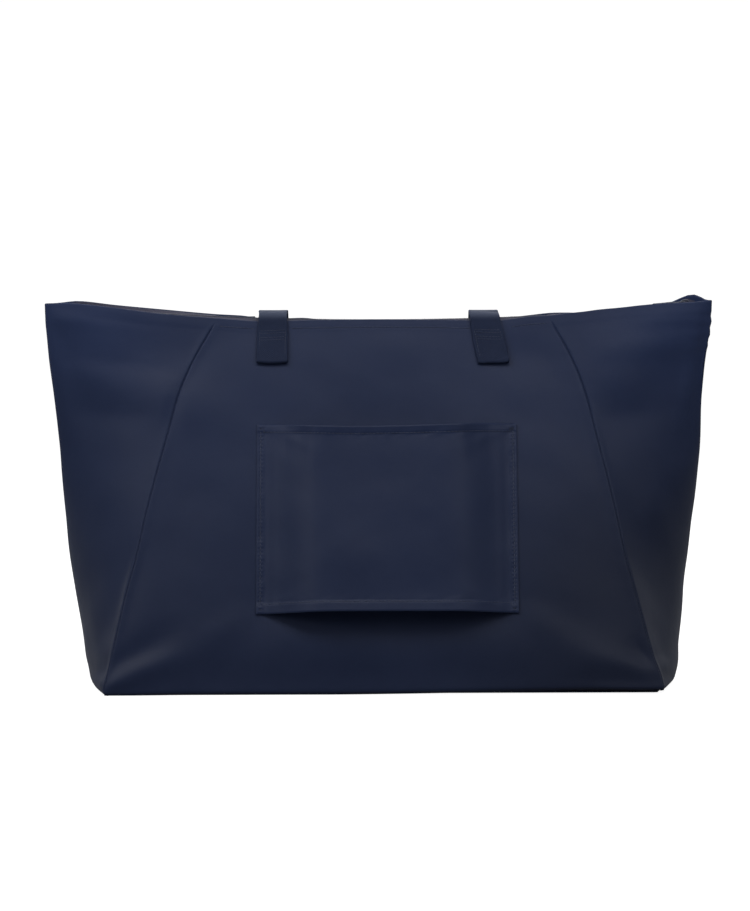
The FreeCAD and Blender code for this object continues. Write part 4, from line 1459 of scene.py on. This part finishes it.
def build_mouth_stitches(side):
    """Topstitch below the mouth, broken at the strap tabs."""
    reach, tab_half = 133, 13.6
    x = np.linspace(-reach, reach, 200)
    line = on_face(x, (top_z(x) - 5.4) / LEAN_COS, 0.2, side)
    tab = LOOPS[side][0]
    stitches = Piece()
    for start, end in ((-reach, -tab - tab_half), (-tab + tab_half, tab - tab_half),
                       (tab + tab_half, reach)):
        stitch_line(stitches, line[(x >= start) & (x <= end)], face_normal(side),
                    pitch=3.1, length=2.4, radius=0.24, seed=90 + side)
    stitches.build("mouth_stitches_" + TAGS[side], THREAD, "cloth", body=BODIES[side])


# ---------------------------------------------------------------- studio and camera
def build_floor():
    """Floor that sweeps up into a wall at +y."""
    material, tree, bsdf = new_material("studio_floor")
    # near white to the camera, but throws less light back up at the bag
    ray = node(tree, "ShaderNodeLightPath", {}).outputs["Is Camera Ray"]
    feed(tree, bsdf, {
        "Roughness": 0.9, "Specular IOR Level": 0.1, "Emission Color": (1, 1, 1, 1),
        "Emission Strength": calc(tree, "MULTIPLY", ray, 0.93),
        "Base Color": (0.30, 0.30, 0.30, 1)})
    floor_z, bend_y, bend_radius, half_width = -0.6, 2200.0, 1400.0, 5000.0
    profile = [(-3500.0, floor_z), (bend_y, floor_z)]
    for angle in np.linspace(0, math.pi / 2, 16)[1:]:
        profile.append((bend_y + bend_radius * math.sin(angle),
                        bend_radius - bend_radius * math.cos(angle) + floor_z))
    profile.append((bend_y + bend_radius, 9000.0))
    points = [(x, y, z) for y, z in profile for x in (-half_width, half_width)]
    faces = [(2 * i, 2 * i + 1, 2 * i + 3, 2 * i + 2) for i in range(len(profile) - 1)]
    floor = new_mesh("studio_sweep", points, faces)
    floor.data.materials.append(material)


def build_world():
    world = bpy.data.worlds.new("studio")
    bpy.context.scene.world = world
    world.use_nodes = True
    tree = world.node_tree
    ray = node(tree, "ShaderNodeLightPath", {}).outputs["Is Camera Ray"]
    # 0.23 lights the bag; the camera sees 0.78 more
    feed(tree, tree.nodes["Background"], {
        0: (1, 1, 1, 1), 1: calc(tree, "MULTIPLY_ADD", ray, 0.78, 0.23)})


def aim(ob, place, target):
    """Puts a light or camera at a place and returns the rotation that looks at target."""
    ob.location = place
    ob.rotation_mode = "QUATERNION"
    return (Vector(target) - Vector(place)).to_track_quat("-Z", "Y")


def area_light(name, place, target, size, power):
    light = bpy.data.lights.new(name, "AREA")
    light.shape = "RECTANGLE"
    light.size, light.size_y = size
    light.energy = power
    ob = bpy.data.objects.new(name, light)
    bpy.context.scene.collection.objects.link(ob)
    ob.rotation_quaternion = aim(ob, place, target)


def build_lights():
    # name, place, target, size, power
    for light in (
            ("key_top", (-0.22, -0.68, 1.35), (-0.02, 0, 0.26), (2.8, 0.5), 19),
            ("fill_left", (-1.9, -1.9, 1.5), (0, 0, 0.27), (1.4, 1.2), 12),
            ("fill_right", (1.9, -1.9, 1.6), (0, 0, 0.28), (1.4, 1.2), 7),
            ("back_top", (0.20, 1.0, 1.35), (0, 0, 0.26), (2.8, 0.7), 17),
            ("back_left", (-2.3, 1.6, 1.2), (0, 0, 0.2), (1.4, 1.2), 9),
            ("back_right", (2.3, 1.6, 1.2), (0, 0, 0.2), (1.4, 1.2), 9)):
        area_light(*light)


def build_camera():
    distance, elevation, roll = 3.0, math.radians(5.0), math.radians(-0.18)
    view_width = 0.747       # seen across the target, in metres
    target = Vector((-0.0066, 0.0, 0.1820))
    lens = bpy.data.cameras.new("camera")
    lens.sensor_width = 36.0
    lens.lens = 36.0 * distance / view_width
    lens.clip_start, lens.clip_end = 0.05, 50
    camera = bpy.data.objects.new("camera", lens)
    scene = bpy.context.scene
    scene.collection.objects.link(camera)
    scene.camera = camera
    place = target + Vector((0, -math.cos(elevation), math.sin(elevation))) * distance
    camera.rotation_quaternion = aim(camera, place, target) @ Quaternion((0, 0, 1), roll)
    scene.view_settings.view_transform = "Standard"
    scene.view_settings.look = "None"


shell_points, shell_normals = build_shell()
build_base()
build_sleeve()
build_sleeve_tacks()
build_sleeve_stitches()
for side in (BACK, FRONT):
    build_tabs(Strap(side))
    build_loop(Strap(side))
for side in (BACK, FRONT):
    build_zip_tape(side)
    build_zip_teeth(side)
build_sliders()
for hand, name in LEFT_RIGHT:
    build_zip_end(hand, name)
build_bindings()
build_pocket()
build_pocket_zip()
build_seam_stitches(shell_points, shell_normals)
for side in (BACK, FRONT):
    build_mouth_stitches(side)
build_floor()
build_world()
build_lights()
build_camera()
